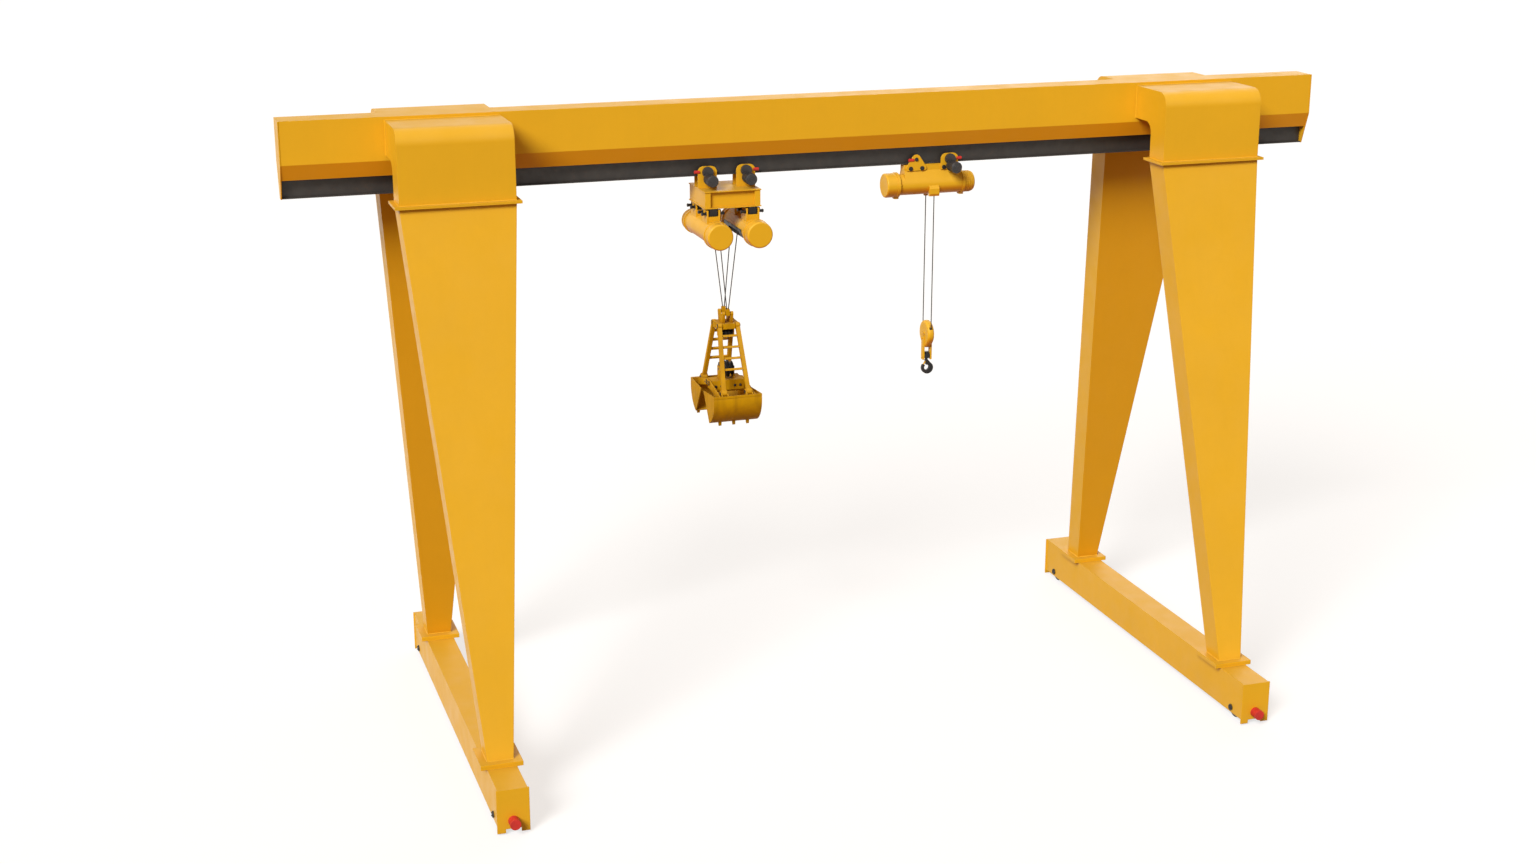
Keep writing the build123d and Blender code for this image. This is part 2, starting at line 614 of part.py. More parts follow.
with BuildPart() as grab_trolley_frame:
    # The top plate and the bottom ring overhang; the end webs stand back between two side boxes
    with BuildSketch(Plane.XY.offset(GRAB_FRAME_TOP)):
        with Locations((GRAB_X, 0)):
            Rectangle(GRAB_FRAME_LENGTH, GRAB_FRAME_WIDTH)
    extrude(amount=-GRAB_FRAME_FLANGE)
    plate_ring(GRAB_FRAME_BOTTOM, GRAB_FRAME_FLANGE, GRAB_X, 0, GRAB_FRAME_LENGTH, GRAB_FRAME_WIDTH,
               GRAB_FRAME_HOLE, GRAB_FRAME_HOLE)
    body_length = GRAB_FRAME_LENGTH - 2 * GRAB_FRAME_OVERHANG
    body_width = GRAB_FRAME_WIDTH - 2 * GRAB_FRAME_OVERHANG
    panel_length = body_length - 2 * GRAB_SIDE_BOX
    recess_y = (body_width - GRAB_FRAME_RECESS) / 2
    with BuildSketch(Plane.XY.offset(GRAB_FRAME_BOTTOM)):
        with Locations((GRAB_X, 0)):
            Rectangle(body_length, body_width)
            Rectangle(panel_length, body_width - 2 * (GRAB_FRAME_RECESS + GRAB_FRAME_WEB), mode=Mode.SUBTRACT)
        with Locations((GRAB_X, recess_y), (GRAB_X, -recess_y)):
            Rectangle(panel_length, GRAB_FRAME_RECESS, mode=Mode.SUBTRACT)
    extrude(amount=GRAB_FRAME_DEPTH)
save(grab_trolley_frame, "grab_trolley_frame")

with BuildPart() as grab_trolley_plates:
    for sy in ENDS.values():
        for x in GRAB_PLATE_X:
            with BuildSketch(Plane.XZ.offset(-sy * PLATE_INNER)):
                with Locations((x, (PLATE_TOP + GRAB_FRAME_TOP) / 2)):
                    Rectangle(GRAB_PLATE_WIDTH, PLATE_TOP - GRAB_FRAME_TOP)
                fillet(vertices().group_by(Axis.Y)[-1], GRAB_PLATE_ROUND)
            extrude(amount=-sy * PLATE_THICKNESS)
    wheel_bores(GRAB_PLATE_X)
save(grab_trolley_plates, "grab_trolley_plates")

with BuildPart() as grab_trolley_wheels:
    track_wheels(GRAB_PLATE_X)
save(grab_trolley_wheels, "grab_trolley_wheels")

drives = []
for x in GRAB_PLATE_X:
    with BuildPart() as grab_travel_drive:
        travel_drive(x)
    drives.append(grab_travel_drive.part)
with BuildPart() as grab_travel_drives:
    add(drives)
save(grab_travel_drives, "grab_travel_drives")

with BuildPart() as grab_trolley_buffers:
    trolley_buffers(GRAB_PLATE_X[0] - GRAB_PLATE_WIDTH / 2, GRAB_PLATE_X[1] + GRAB_PLATE_WIDTH / 2,
                    grab_trolley_plates)
save(grab_trolley_buffers, "grab_trolley_buffers")

LUG_STATIONS = [-LUG_SPACING / 2, LUG_SPACING / 2]
for side, sx in SIDES.items():
    hoist_x = GRAB_X + sx * GRAB_HOIST_SPACING / 2
    with BuildPart() as grab_hoist:
        # Lug plates rise from the barrel on both sides of each hanger
        lug_x = LUG_GAP / 2 + LUG_THICKNESS / 2
        with BuildSketch(Plane.XY.offset(GRAB_HOIST_HEIGHT)):
            for y in LUG_STATIONS:
                with Locations((hoist_x - lug_x, y), (hoist_x + lug_x, y)):
                    Rectangle(LUG_THICKNESS, LUG_LENGTH)
        extrude(amount=GRAB_FRAME_BOTTOM - GRAB_HOIST_HEIGHT - LUG_TOP_GAP)
        hoist_body((hoist_x, -GRAB_HOIST_FRONT, GRAB_HOIST_HEIGHT), (0, 1, 0), GRAB_HOIST_RATIO)
        # Rope slot low on the inner side of the barrel
        barrel = BARREL_RADIUS * GRAB_HOIST_RATIO
        slot_depth = barrel - ROPE_SLOT_REACH
        slot_x = hoist_x - sx * (barrel - slot_depth / 2)
        with Locations((slot_x, 0, GRAB_HOIST_HEIGHT - (ROPE_SLOT_TOP + ROPE_SLOT_BOTTOM) / 2)):
            Box(slot_depth, ROPE_SLOT_LENGTH, ROPE_SLOT_BOTTOM - ROPE_SLOT_TOP, mode=Mode.SUBTRACT)
        for y in LUG_STATIONS:
            for dy in (-LUG_PIN_SPACING / 2, LUG_PIN_SPACING / 2):
                pin_along_x(hoist_x - LUG_GAP, hoist_x + LUG_GAP, y + dy, LUG_PIN_HEIGHT,
                            LUG_PIN_RADIUS + RUNNING_CLEARANCE, Mode.SUBTRACT)
    save(grab_hoist, f"grab_hoist_{side}")

with BuildPart() as grab_hoist_hangers:
    for sx in SIDES.values():
        hoist_x = GRAB_X + sx * GRAB_HOIST_SPACING / 2
        hanger_bottom = LUG_PIN_HEIGHT - HANGER_EDGE
        for y in LUG_STATIONS:
            with Locations((hoist_x, y, (GRAB_FRAME_BOTTOM + hanger_bottom) / 2)):
                Box(HANGER_WIDTH, HANGER_LENGTH, GRAB_FRAME_BOTTOM - hanger_bottom)
            pin_reach = LUG_GAP / 2 + LUG_THICKNESS + LUG_PIN_PROUD
            for dy in (-LUG_PIN_SPACING / 2, LUG_PIN_SPACING / 2):
                pin_along_x(hoist_x - pin_reach, hoist_x + pin_reach, y + dy, LUG_PIN_HEIGHT, LUG_PIN_RADIUS)
save(grab_hoist_hangers, "grab_hoist_hangers")


def rope(start, end):
    # Both ends are level, so they seat on level faces
    sections = []
    for x, y, z in (start, end):
        with BuildSketch(Plane.XY.offset(z)) as section:
            with Locations((x, y)):
                Circle(ROPE_RADIUS)
        sections.append(section.sketch)
    loft(sections, ruled=True)


with BuildPart() as grab_ropes:
    for sx in SIDES.values():
        rope_x = GRAB_X + sx * (GRAB_HOIST_SPACING / 2 - ROPE_START)
        for sy in ENDS.values():
            rope((rope_x, sy * GRAB_ROPE_TOP_Y, GRAB_HOIST_HEIGHT - ROPE_SLOT_TOP),
                 (GRAB_X + sx * GRAB_ROPE_END_X, sy * GRAB_ROPE_END_Y, GRAB_HANGER_TOP))
save(grab_ropes, "grab_ropes")

# Grab head with its rope hanger
with BuildPart() as grab_hanger:
    # Two cheeks with horns, and a rope socket pinned between each pair of horns
    horn_out = GRAB_ROPE_END_Y + HANGER_HORN_RADIUS
    horn_in = GRAB_ROPE_END_Y - HANGER_HORN_RADIUS
    for start in (GRAB_X - HANGER_REACH, GRAB_X + HANGER_REACH - HANGER_CHEEK):
        with BuildSketch(Plane.YZ.offset(start)):
            with BuildLine():
                Polyline(
                    (-horn_out, HANGER_PIN_Z), (-horn_in, HANGER_PIN_Z), (-HANGER_WAIST_Y, HANGER_WAIST_Z),
                    (HANGER_WAIST_Y, HANGER_WAIST_Z), (horn_in, HANGER_PIN_Z), (horn_out, HANGER_PIN_Z),
                    (GRAB_ROPE_END_Y, GRAB_HEAD_TOP), (-GRAB_ROPE_END_Y, GRAB_HEAD_TOP), close=True,
                )
            make_face()
            with Locations((-GRAB_ROPE_END_Y, HANGER_PIN_Z), (GRAB_ROPE_END_Y, HANGER_PIN_Z)):
                Circle(HANGER_HORN_RADIUS)
        extrude(amount=HANGER_CHEEK)
    for sy in ENDS.values():
        pin_along_x(GRAB_X - HANGER_REACH, GRAB_X + HANGER_REACH, sy * GRAB_ROPE_END_Y, HANGER_PIN_Z,
                    HANGER_PIN_RADIUS)
        with Locations((GRAB_X, sy * GRAB_ROPE_END_Y, GRAB_HANGER_TOP - SOCKET_DEPTH / 2)):
            Box(SOCKET_LENGTH, SOCKET_WIDTH, SOCKET_DEPTH)
save(grab_hanger, "grab_hanger")

CHEEK_INNER = GRAB_SHEAVE_WIDTH / 2 + SHEAVE_SIDE_GAP
CHEEK_OUTER = CHEEK_INNER + CHEEK_THICKNESS


def sheave_cheeks(bottom, top, pin_z):
    for start in (GRAB_X - CHEEK_OUTER, GRAB_X + CHEEK_INNER):
        with Locations((start + CHEEK_THICKNESS / 2, 0, (bottom + top) / 2)):
            Box(CHEEK_THICKNESS, CHEEK_WIDTH, top - bottom)
        pin_along_x(start, start + CHEEK_THICKNESS, 0, pin_z, SHEAVE_PIN_RADIUS + RUNNING_CLEARANCE,
                    Mode.SUBTRACT)


def sheave_on_pin(radius, z):
    # Grooved sheaves side by side on one pin, the outer ones smaller
    pitch = GRAB_SHEAVE_WIDTH / SHEAVE_COUNT
    left = -GRAB_SHEAVE_WIDTH / 2
    points = [(-CHEEK_OUTER, 0), (-CHEEK_OUTER, SHEAVE_PIN_RADIUS), (left, SHEAVE_PIN_RADIUS)]
    for i in range(SHEAVE_COUNT):
        rim = radius if 0 < i < SHEAVE_COUNT - 1 else radius - SHEAVE_SIDE_DROP
        middle = left + pitch / 2
        points += [
            (left, rim), (left + SHEAVE_RIM, rim), (middle - SHEAVE_GROOVE_HALF, rim - SHEAVE_GROOVE),
            (middle + SHEAVE_GROOVE_HALF, rim - SHEAVE_GROOVE), (left + pitch - SHEAVE_RIM, rim),
            (left + pitch, rim),
        ]
        left += pitch
    points += [(left, SHEAVE_PIN_RADIUS), (CHEEK_OUTER, SHEAVE_PIN_RADIUS), (CHEEK_OUTER, 0)]
    with BuildSketch(Plane(origin=(GRAB_X, 0, z), x_dir=(1, 0, 0), z_dir=(0, 0, 1))) as section:
        with BuildLine() as outline:
            Polyline(*points, close=True)
        make_face(outline.edges())
    revolve(section.sketch, axis=Axis((GRAB_X, 0, z), (1, 0, 0)))


with BuildPart() as grab_head:
    # Block with a corner notch for the top of each arm
    with BuildSketch(Plane.XY.offset(GRAB_HEAD_TOP)):
        with Locations((GRAB_X, 0)):
            Rectangle(GRAB_HEAD_LENGTH, GRAB_HEAD_WIDTH)
            with GridLocations(GRAB_HEAD_LENGTH - ARM_NOTCH_LENGTH, GRAB_HEAD_WIDTH - ARM_NOTCH_WIDTH, 2, 2):
                Rectangle(ARM_NOTCH_LENGTH, ARM_NOTCH_WIDTH, mode=Mode.SUBTRACT)
    extrude(amount=-GRAB_HEAD_DEPTH)
    pin_reach = ARM_TOP_X + ARM_WIDTH / 2 + ARM_PIN_PROUD
    for sy in ENDS.values():
        pin_along_x(GRAB_X - pin_reach, GRAB_X + pin_reach, sy * ARM_TOP_Y, ARM_TOP_Z, ARM_PIN_RADIUS)
    sheave_cheeks(UPPER_SHEAVE_HEIGHT - CHEEK_EDGE, GRAB_HEAD_TOP - GRAB_HEAD_DEPTH, UPPER_SHEAVE_HEIGHT)
save(grab_head, "grab_head")

with BuildPart() as grab_upper_sheaves:
    sheave_on_pin(UPPER_SHEAVE_RADIUS, UPPER_SHEAVE_HEIGHT)
save(grab_upper_sheaves, "grab_upper_sheaves")

# Ladder arms between the head and each scoop
ARM_LENGTH = hypot(ARM_FOOT_Y - ARM_TOP_Y, ARM_TOP_Z - ARM_FOOT_Z)
for end, sy in ENDS.items():
    arm_plane = Plane(
        origin=(GRAB_X, sy * ARM_TOP_Y, ARM_TOP_Z), x_dir=(1, 0, 0),
        z_dir=(0, -sy * (ARM_TOP_Z - ARM_FOOT_Z), -(ARM_FOOT_Y - ARM_TOP_Y)),
    )
    down = -sy
    with BuildPart() as grab_arms:
        with BuildSketch(arm_plane):
            for sx in SIDES.values():
                top_x = sx * ARM_TOP_X
                foot_x = sx * ARM_FOOT_X
                with BuildLine():
                    Polyline(
                        (top_x - ARM_WIDTH / 2, 0), (top_x + ARM_WIDTH / 2, 0),
                        (foot_x + ARM_WIDTH / 2, down * ARM_LENGTH),
                        (foot_x - ARM_WIDTH / 2, down * ARM_LENGTH),
                        close=True,
                    )
                make_face()
        extrude(amount=ARM_THICKNESS / 2, both=True)
        with BuildSketch(arm_plane):
            for i in range(RUNG_COUNT):
                share = RUNG_FIRST + i * RUNG_STEP
                rung_x = ARM_TOP_X + (ARM_FOOT_X - ARM_TOP_X) * share
                with Locations((0, down * ARM_LENGTH * share)):
                    Rectangle(2 * rung_x, RUNG_WIDTH)
        extrude(amount=RUNG_THICKNESS / 2, both=True)
        for sx in SIDES.values():
            for x, y, z, width, radius, bore in (
                (ARM_TOP_X, ARM_TOP_Y, ARM_TOP_Z, ARM_WIDTH, ARM_EYE_RADIUS,
                 ARM_PIN_RADIUS + RUNNING_CLEARANCE),
                (ARM_FOOT_X, ARM_FOOT_Y, ARM_FOOT_Z, FOOT_LUG_GAP - 2 * FOOT_SIDE_GAP, ARM_FOOT_EYE_RADIUS,
                 ARM_PIN_RADIUS + ARM_FOOT_SLACK),
            ):
                start = GRAB_X + sx * x - width / 2
                pin_along_x(start, start + width, sy * y, z, radius)
                pin_along_x(start - width / 2, start + 1.5 * width, sy * y, z, bore, Mode.SUBTRACT)
    save(grab_arms, f"grab_arms_{end}")

# Lower block with the scoop pivots and its sheaves
with BuildPart() as grab_lower_block:
    with Locations((GRAB_X, 0, BLOCK_TOP - BLOCK_DEPTH / 2)):
        Box(BLOCK_LENGTH, BLOCK_WIDTH, BLOCK_DEPTH)
    with Locations((GRAB_X, 0, BLOCK_TOP - BLOCK_DEPTH - KEEL_DEPTH / 2)):
        Box(KEEL_LENGTH, KEEL_WIDTH, KEEL_DEPTH)
    pivot_reach = SCOOP_EAR_X + SCOOP_EAR_THICKNESS + PIVOT_PIN_PROUD
    for sy in ENDS.values():
        pin_along_x(GRAB_X - pivot_reach, GRAB_X + pivot_reach, sy * SCOOP_PIVOT_Y, SCOOP_PIVOT_Z,
                    SCOOP_PIN_RADIUS)
    sheave_cheeks(BLOCK_TOP, GRAB_SHEAVE_HEIGHT + CHEEK_EDGE, GRAB_SHEAVE_HEIGHT)
save(grab_lower_block, "grab_lower_block")

with BuildPart() as grab_lower_sheaves:
    sheave_on_pin(GRAB_SHEAVE_RADIUS, GRAB_SHEAVE_HEIGHT)
save(grab_lower_sheaves, "grab_lower_sheaves")

# Scoops: side plates, a curved back plate, hinge ears, arm lugs and teeth
TEETH = {
    "front": [-TOOTH_PITCH, 0, TOOTH_PITCH],
    "rear": [-1.5 * TOOTH_PITCH, -0.5 * TOOTH_PITCH, 0.5 * TOOTH_PITCH, 1.5 * TOOTH_PITCH],
}
LIP_REACH = hypot(SCOOP_LIP_Y - SCOOP_PIVOT_Y, SCOOP_PIVOT_Z - SCOOP_LIP_Z)
LIP_OUT_Y = (SCOOP_LIP_Y - SCOOP_PIVOT_Y) / LIP_REACH
LIP_OUT_Z = (SCOOP_LIP_Z - SCOOP_PIVOT_Z) / LIP_REACH
BACK_TOP = (SCOOP_OUTER_Y, SCOOP_TOP_Z)
BACK_BELLY = (SCOOP_BELLY_Y, SCOOP_BELLY_Z)
BACK_LIP = (SCOOP_LIP_Y, SCOOP_LIP_Z)
BACK_ARC = Edge.make_three_point_arc(BACK_TOP, BACK_BELLY, BACK_LIP)


def inset_point(point, amount):
    # The point moved towards the centre of the back plate's arc
    centre = BACK_ARC.arc_center
    return centre + (Vector(*point) - centre) * (1 - amount / BACK_ARC.radius)


def facing(sy, point):
    return (sy * point[0], point[1])


def back_arc(sy, inset):
    points = [inset_point(p, inset) for p in (BACK_TOP, BACK_BELLY, BACK_LIP)]
    return ThreePointArc(*[(sy * p.X, p.Y) for p in points])


for end, sy in ENDS.items():
    with BuildPart() as scoop:
        # Curved back plate
        with BuildSketch(Plane.YZ.offset(GRAB_X)):
            with BuildLine():
                outer = back_arc(sy, 0)
                inner = back_arc(sy, SCOOP_WALL)
                Line(outer @ 0, inner @ 0)
                Line(outer @ 1, inner @ 1)
            make_face()
        extrude(amount=SCOOP_WIDTH / 2, both=True)
        # Hinge ears that reach from the pivot pins to the back plate, and lugs for the feet of the arms
        ear_x = [GRAB_X + SCOOP_EAR_X, GRAB_X - SCOOP_EAR_X - SCOOP_EAR_THICKNESS]
        lug_shift = FOOT_LUG_GAP / 2
        lug_x = []
        for sx in SIDES.values():
            foot_x = GRAB_X + sx * ARM_FOOT_X
            lug_x += [foot_x + lug_shift, foot_x - lug_shift - FOOT_LUG_THICKNESS]
        ear_points = [
            (SCOOP_PIVOT_Y, SCOOP_PIVOT_Z + SCOOP_EYE_RADIUS),
            (SCOOP_OUTER_Y + SCOOP_WALL, SCOOP_TOP_Z - EAR_TOP_DROP),
            (SCOOP_OUTER_Y + SCOOP_WALL, SCOOP_TOP_Z - EAR_DEPTH),
            (SCOOP_PIVOT_Y, SCOOP_PIVOT_Z - SCOOP_EYE_RADIUS),
        ]
        lug_points = [
            (ARM_FOOT_Y, ARM_FOOT_Z + FOOT_LUG_RADIUS),
            (SCOOP_OUTER_Y + SCOOP_WALL, SCOOP_TOP_Z - EAR_TOP_DROP),
            (SCOOP_OUTER_Y + SCOOP_WALL, SCOOP_TOP_Z - EAR_DEPTH), (ARM_FOOT_Y - FOOT_LUG_RADIUS, ARM_FOOT_Z),
        ]
        for starts, thickness, points, eye, radius in (
            (ear_x, SCOOP_EAR_THICKNESS, ear_points, (SCOOP_PIVOT_Y, SCOOP_PIVOT_Z), SCOOP_EYE_RADIUS),
            (lug_x, FOOT_LUG_THICKNESS, lug_points, (ARM_FOOT_Y, ARM_FOOT_Z), FOOT_LUG_RADIUS),
        ):
            for start in starts:
                with BuildSketch(Plane.YZ.offset(start)):
                    with BuildLine():
                        Polyline(*[facing(sy, p) for p in points], close=True)
                    make_face()
                    with Locations(facing(sy, eye)):
                        Circle(radius)
                    # Trim to the back plate
                    with BuildLine():
                        trim = back_arc(sy, SCOOP_WALL / 2)
                        far_y = sy * 2 * SCOOP_OUTER_Y
                        Polyline(trim @ 1, (far_y, SCOOP_LIP_Z), (far_y, GRAB_HEAD_TOP),
                                 ((trim @ 0).X, GRAB_HEAD_TOP), trim @ 0)
                    make_face(mode=Mode.SUBTRACT)
                extrude(amount=thickness)
        for start in ear_x:
            pin_along_x(start, start + SCOOP_EAR_THICKNESS, sy * SCOOP_PIVOT_Y, SCOOP_PIVOT_Z,
                        SCOOP_PIN_RADIUS + RUNNING_CLEARANCE, Mode.SUBTRACT)
        for sx in SIDES.values():
            foot_x = GRAB_X + sx * ARM_FOOT_X
            reach = lug_shift + FOOT_LUG_THICKNESS
            pin_along_x(foot_x - reach, foot_x + reach, sy * ARM_FOOT_Y, ARM_FOOT_Z, ARM_PIN_RADIUS)
        # Side plates
        for start in (GRAB_X - SCOOP_WIDTH / 2, GRAB_X + SCOOP_WIDTH / 2 - SCOOP_WALL):
            with BuildSketch(Plane.YZ.offset(start)):
                with BuildLine():
                    back = back_arc(sy, 0)
                    Polyline(back @ 1, (sy * SCOOP_INNER_Y, SCOOP_INNER_Z), back @ 0)
                make_face()
            extrude(amount=SCOOP_WALL)
        # Rim along the top of the back plate
        rim_width = SCOOP_RIM_PROUD + SCOOP_WALL / 2
        rim_y = sy * (SCOOP_OUTER_Y + SCOOP_RIM_PROUD - rim_width / 2)
        with Locations((GRAB_X, rim_y, SCOOP_TOP_Z - SCOOP_RIM_DEPTH / 2)):
            Box(SCOOP_WIDTH, rim_width, SCOOP_RIM_DEPTH)
        # Teeth under the lip, pointing away from the pivot
        root = Vector(*BACK_BELLY) - Vector(*BACK_LIP)
        root_unit = root.normalized()
        tooth_start = Vector(*BACK_LIP) + root_unit * TOOTH_GAP
        tooth_end = Vector(*BACK_LIP) + root_unit * TOOTH_ROOT
        tip = tooth_start + Vector(LIP_OUT_Y, LIP_OUT_Z) * TOOTH_LENGTH
        blunt = tip + root_unit * TOOTH_TIP
        for shift in TEETH[end]:
            with BuildSketch(Plane.YZ.offset(GRAB_X + shift)):
                with BuildLine():
                    Polyline(*[(sy * p.X, p.Y) for p in (tooth_start, tip, blunt, tooth_end)], close=True)
                make_face()
            extrude(amount=TOOTH_WIDTH / 2, both=True)
    save(scoop, f"scoop_{end}")

# Hook trolley
HOOK_PLATE_X = [HOOK_X - HOOK_PLATE_SPACING / 2, HOOK_X + HOOK_PLATE_SPACING / 2]
CROSS_RODS = [x + d for x in HOOK_PLATE_X for d in (-CROSS_ROD_SPACING / 2, CROSS_ROD_SPACING / 2)]


def cross_rod_bores(reach):
    for x in CROSS_RODS:
        pin_along_y(-reach, reach, x, CROSS_ROD_HEIGHT, CROSS_ROD_RADIUS + RUNNING_CLEARANCE, Mode.SUBTRACT)


with BuildPart() as hook_trolley_plates:
    for sy in ENDS.values():
        plane = Plane.XZ.offset(-sy * PLATE_INNER)
        # Rounded triangle on the free side, arched plate on the drive side
        with BuildSketch(plane):
            foot_shift = HOOK_PLATE_WIDTH / 2 - HOOK_PLATE_FOOT_RADIUS
            foot_z = HOOK_PLATE_BOTTOM + HOOK_PLATE_FOOT_RADIUS
            with Locations((HOOK_PLATE_X[0], PLATE_TOP - HOOK_PLATE_APEX_RADIUS)):
                Circle(HOOK_PLATE_APEX_RADIUS)
            with Locations((HOOK_PLATE_X[0] - foot_shift, foot_z), (HOOK_PLATE_X[0] + foot_shift, foot_z)):
                Circle(HOOK_PLATE_FOOT_RADIUS)
            make_hull()
        extrude(amount=-sy * PLATE_THICKNESS)
        with BuildSketch(plane):
            with Locations((HOOK_PLATE_X[1], (PLATE_TOP + HOOK_PLATE_BOTTOM) / 2)):
                Rectangle(HOOK_DRIVE_PLATE_WIDTH, PLATE_TOP - HOOK_PLATE_BOTTOM)
            fillet(vertices().group_by(Axis.Y)[-1], GRAB_PLATE_ROUND)
        extrude(amount=-sy * PLATE_THICKNESS)
    wheel_bores(HOOK_PLATE_X)
    cross_rod_bores(PLATE_OUTER)
save(hook_trolley_plates, "hook_trolley_plates")

with BuildPart() as hook_trolley_wheels:
    track_wheels(HOOK_PLATE_X)
save(hook_trolley_wheels, "hook_trolley_wheels")

with BuildPart() as hook_travel_drive:
    travel_drive(HOOK_PLATE_X[1])
save(hook_travel_drive, "hook_travel_drive")

with BuildPart() as hook_trolley_buffers:
    trolley_buffers(HOOK_PLATE_X[0] - HOOK_PLATE_APEX_RADIUS, HOOK_PLATE_X[1] + HOOK_DRIVE_PLATE_WIDTH / 2,
                    hook_trolley_plates)
save(hook_trolley_buffers, "hook_trolley_buffers")

with BuildPart() as hook_trolley_rods:
    for x in CROSS_RODS:
        reach = PLATE_OUTER + CROSS_ROD_PROUD
        pin_along_y(-reach, reach, x, CROSS_ROD_HEIGHT, CROSS_ROD_RADIUS)
save(hook_trolley_rods, "hook_trolley_rods")

# Saddle from the barrel up to the trolley plates, tapered towards the gear cap
with BuildPart() as saddle:
    taper_end = HOOK_X + SADDLE_END + SADDLE_TAPER
    with BuildSketch(Plane.XZ):
        with BuildLine():
            Polyline(
                (HOOK_X + SADDLE_START, HOOK_HOIST_HEIGHT), (HOOK_X + SADDLE_START, SADDLE_TOP),
                (HOOK_X + SADDLE_END, SADDLE_TOP), (taper_end, SADDLE_TOP - SADDLE_TAPER_DROP),
                (taper_end, HOOK_HOIST_HEIGHT), close=True,
            )
        make_face()
    extrude(amount=SADDLE_FLARE_WIDTH / 2, both=True)
    flare_z = HOOK_HOIST_HEIGHT + SADDLE_FLARE_RISE
    with BuildSketch(Plane.YZ.offset(HOOK_X + SADDLE_START)):
        with BuildLine():
            Polyline(
                (-PLATE_INNER, SADDLE_TOP), (PLATE_INNER, SADDLE_TOP), (PLATE_INNER, HOOK_PLATE_BOTTOM),
                (SADDLE_FLARE_WIDTH / 2, flare_z), (SADDLE_FLARE_WIDTH / 2, HOOK_HOIST_HEIGHT),
                (-SADDLE_FLARE_WIDTH / 2, HOOK_HOIST_HEIGHT), (-SADDLE_FLARE_WIDTH / 2, flare_z),
                (-PLATE_INNER, HOOK_PLATE_BOTTOM), close=True,
            )
        make_face()
    extrude(amount=SADDLE_END + SADDLE_TAPER - SADDLE_START, mode=Mode.INTERSECT)

with BuildPart() as hook_hoist:
    hoist_body((HOOK_X + HOOK_HOIST_START, 0, HOOK_HOIST_HEIGHT), (1, 0, 0))
    add(saddle.part)
    cross_rod_bores(PLATE_INNER)
    # Rope guides: a lip under each side of the barrel with a blind outlet for the rope
    for sy in ENDS.values():
        with BuildSketch(Plane.YZ.offset(HOOK_ROPE_X - ROPE_GUIDE_LENGTH / 2)):
            with BuildLine():
                Polyline(*[(sy * y, HOOK_HOIST_HEIGHT - drop) for y, drop in (
                    (ROPE_GUIDE_INNER, ROPE_GUIDE_TOP), (BARREL_RADIUS, ROPE_GUIDE_TOP),
                    (ROPE_GUIDE_REACH, ROPE_GUIDE_SHOULDER), (ROPE_GUIDE_REACH, ROPE_GUIDE_CORNER),
                    (ROPE_GUIDE_LIP, ROPE_GUIDE_BOTTOM), (ROPE_GUIDE_INNER, ROPE_GUIDE_BOTTOM),
                )], close=True)
            make_face()
        extrude(amount=ROPE_GUIDE_LENGTH)
    # Bosses under the two rings
    motor_ring_x = HOOK_X + HOOK_HOIST_START + MOTOR_CAP_LENGTH - MOTOR_RING_LENGTH / 2
    gear_ring_x = HOOK_X + HOOK_HOIST_START + HOIST_LENGTH - GEAR_CAP_LENGTH - GEAR_RING_LENGTH / 2
    for x, radius in ((motor_ring_x, MOTOR_RING_RADIUS), (gear_ring_x, GEAR_RING_RADIUS)):
        with Locations((x, 0, HOOK_HOIST_HEIGHT - radius)):
            Box(FOOT_BOSS_LENGTH, FOOT_BOSS_WIDTH, 2 * FOOT_BOSS_DROP)
    with BuildSketch(Plane.XY.offset(HOOK_HOIST_HEIGHT - ROPE_OUTLET_TOP)):
        with Locations((HOOK_ROPE_X, -HOOK_ROPE_Y), (HOOK_ROPE_X, HOOK_ROPE_Y)):
            Circle(ROPE_OUTLET_RADIUS)
    extrude(amount=-ROPE_GUIDE_BOTTOM, mode=Mode.SUBTRACT)
save(hook_hoist, "hook_hoist")

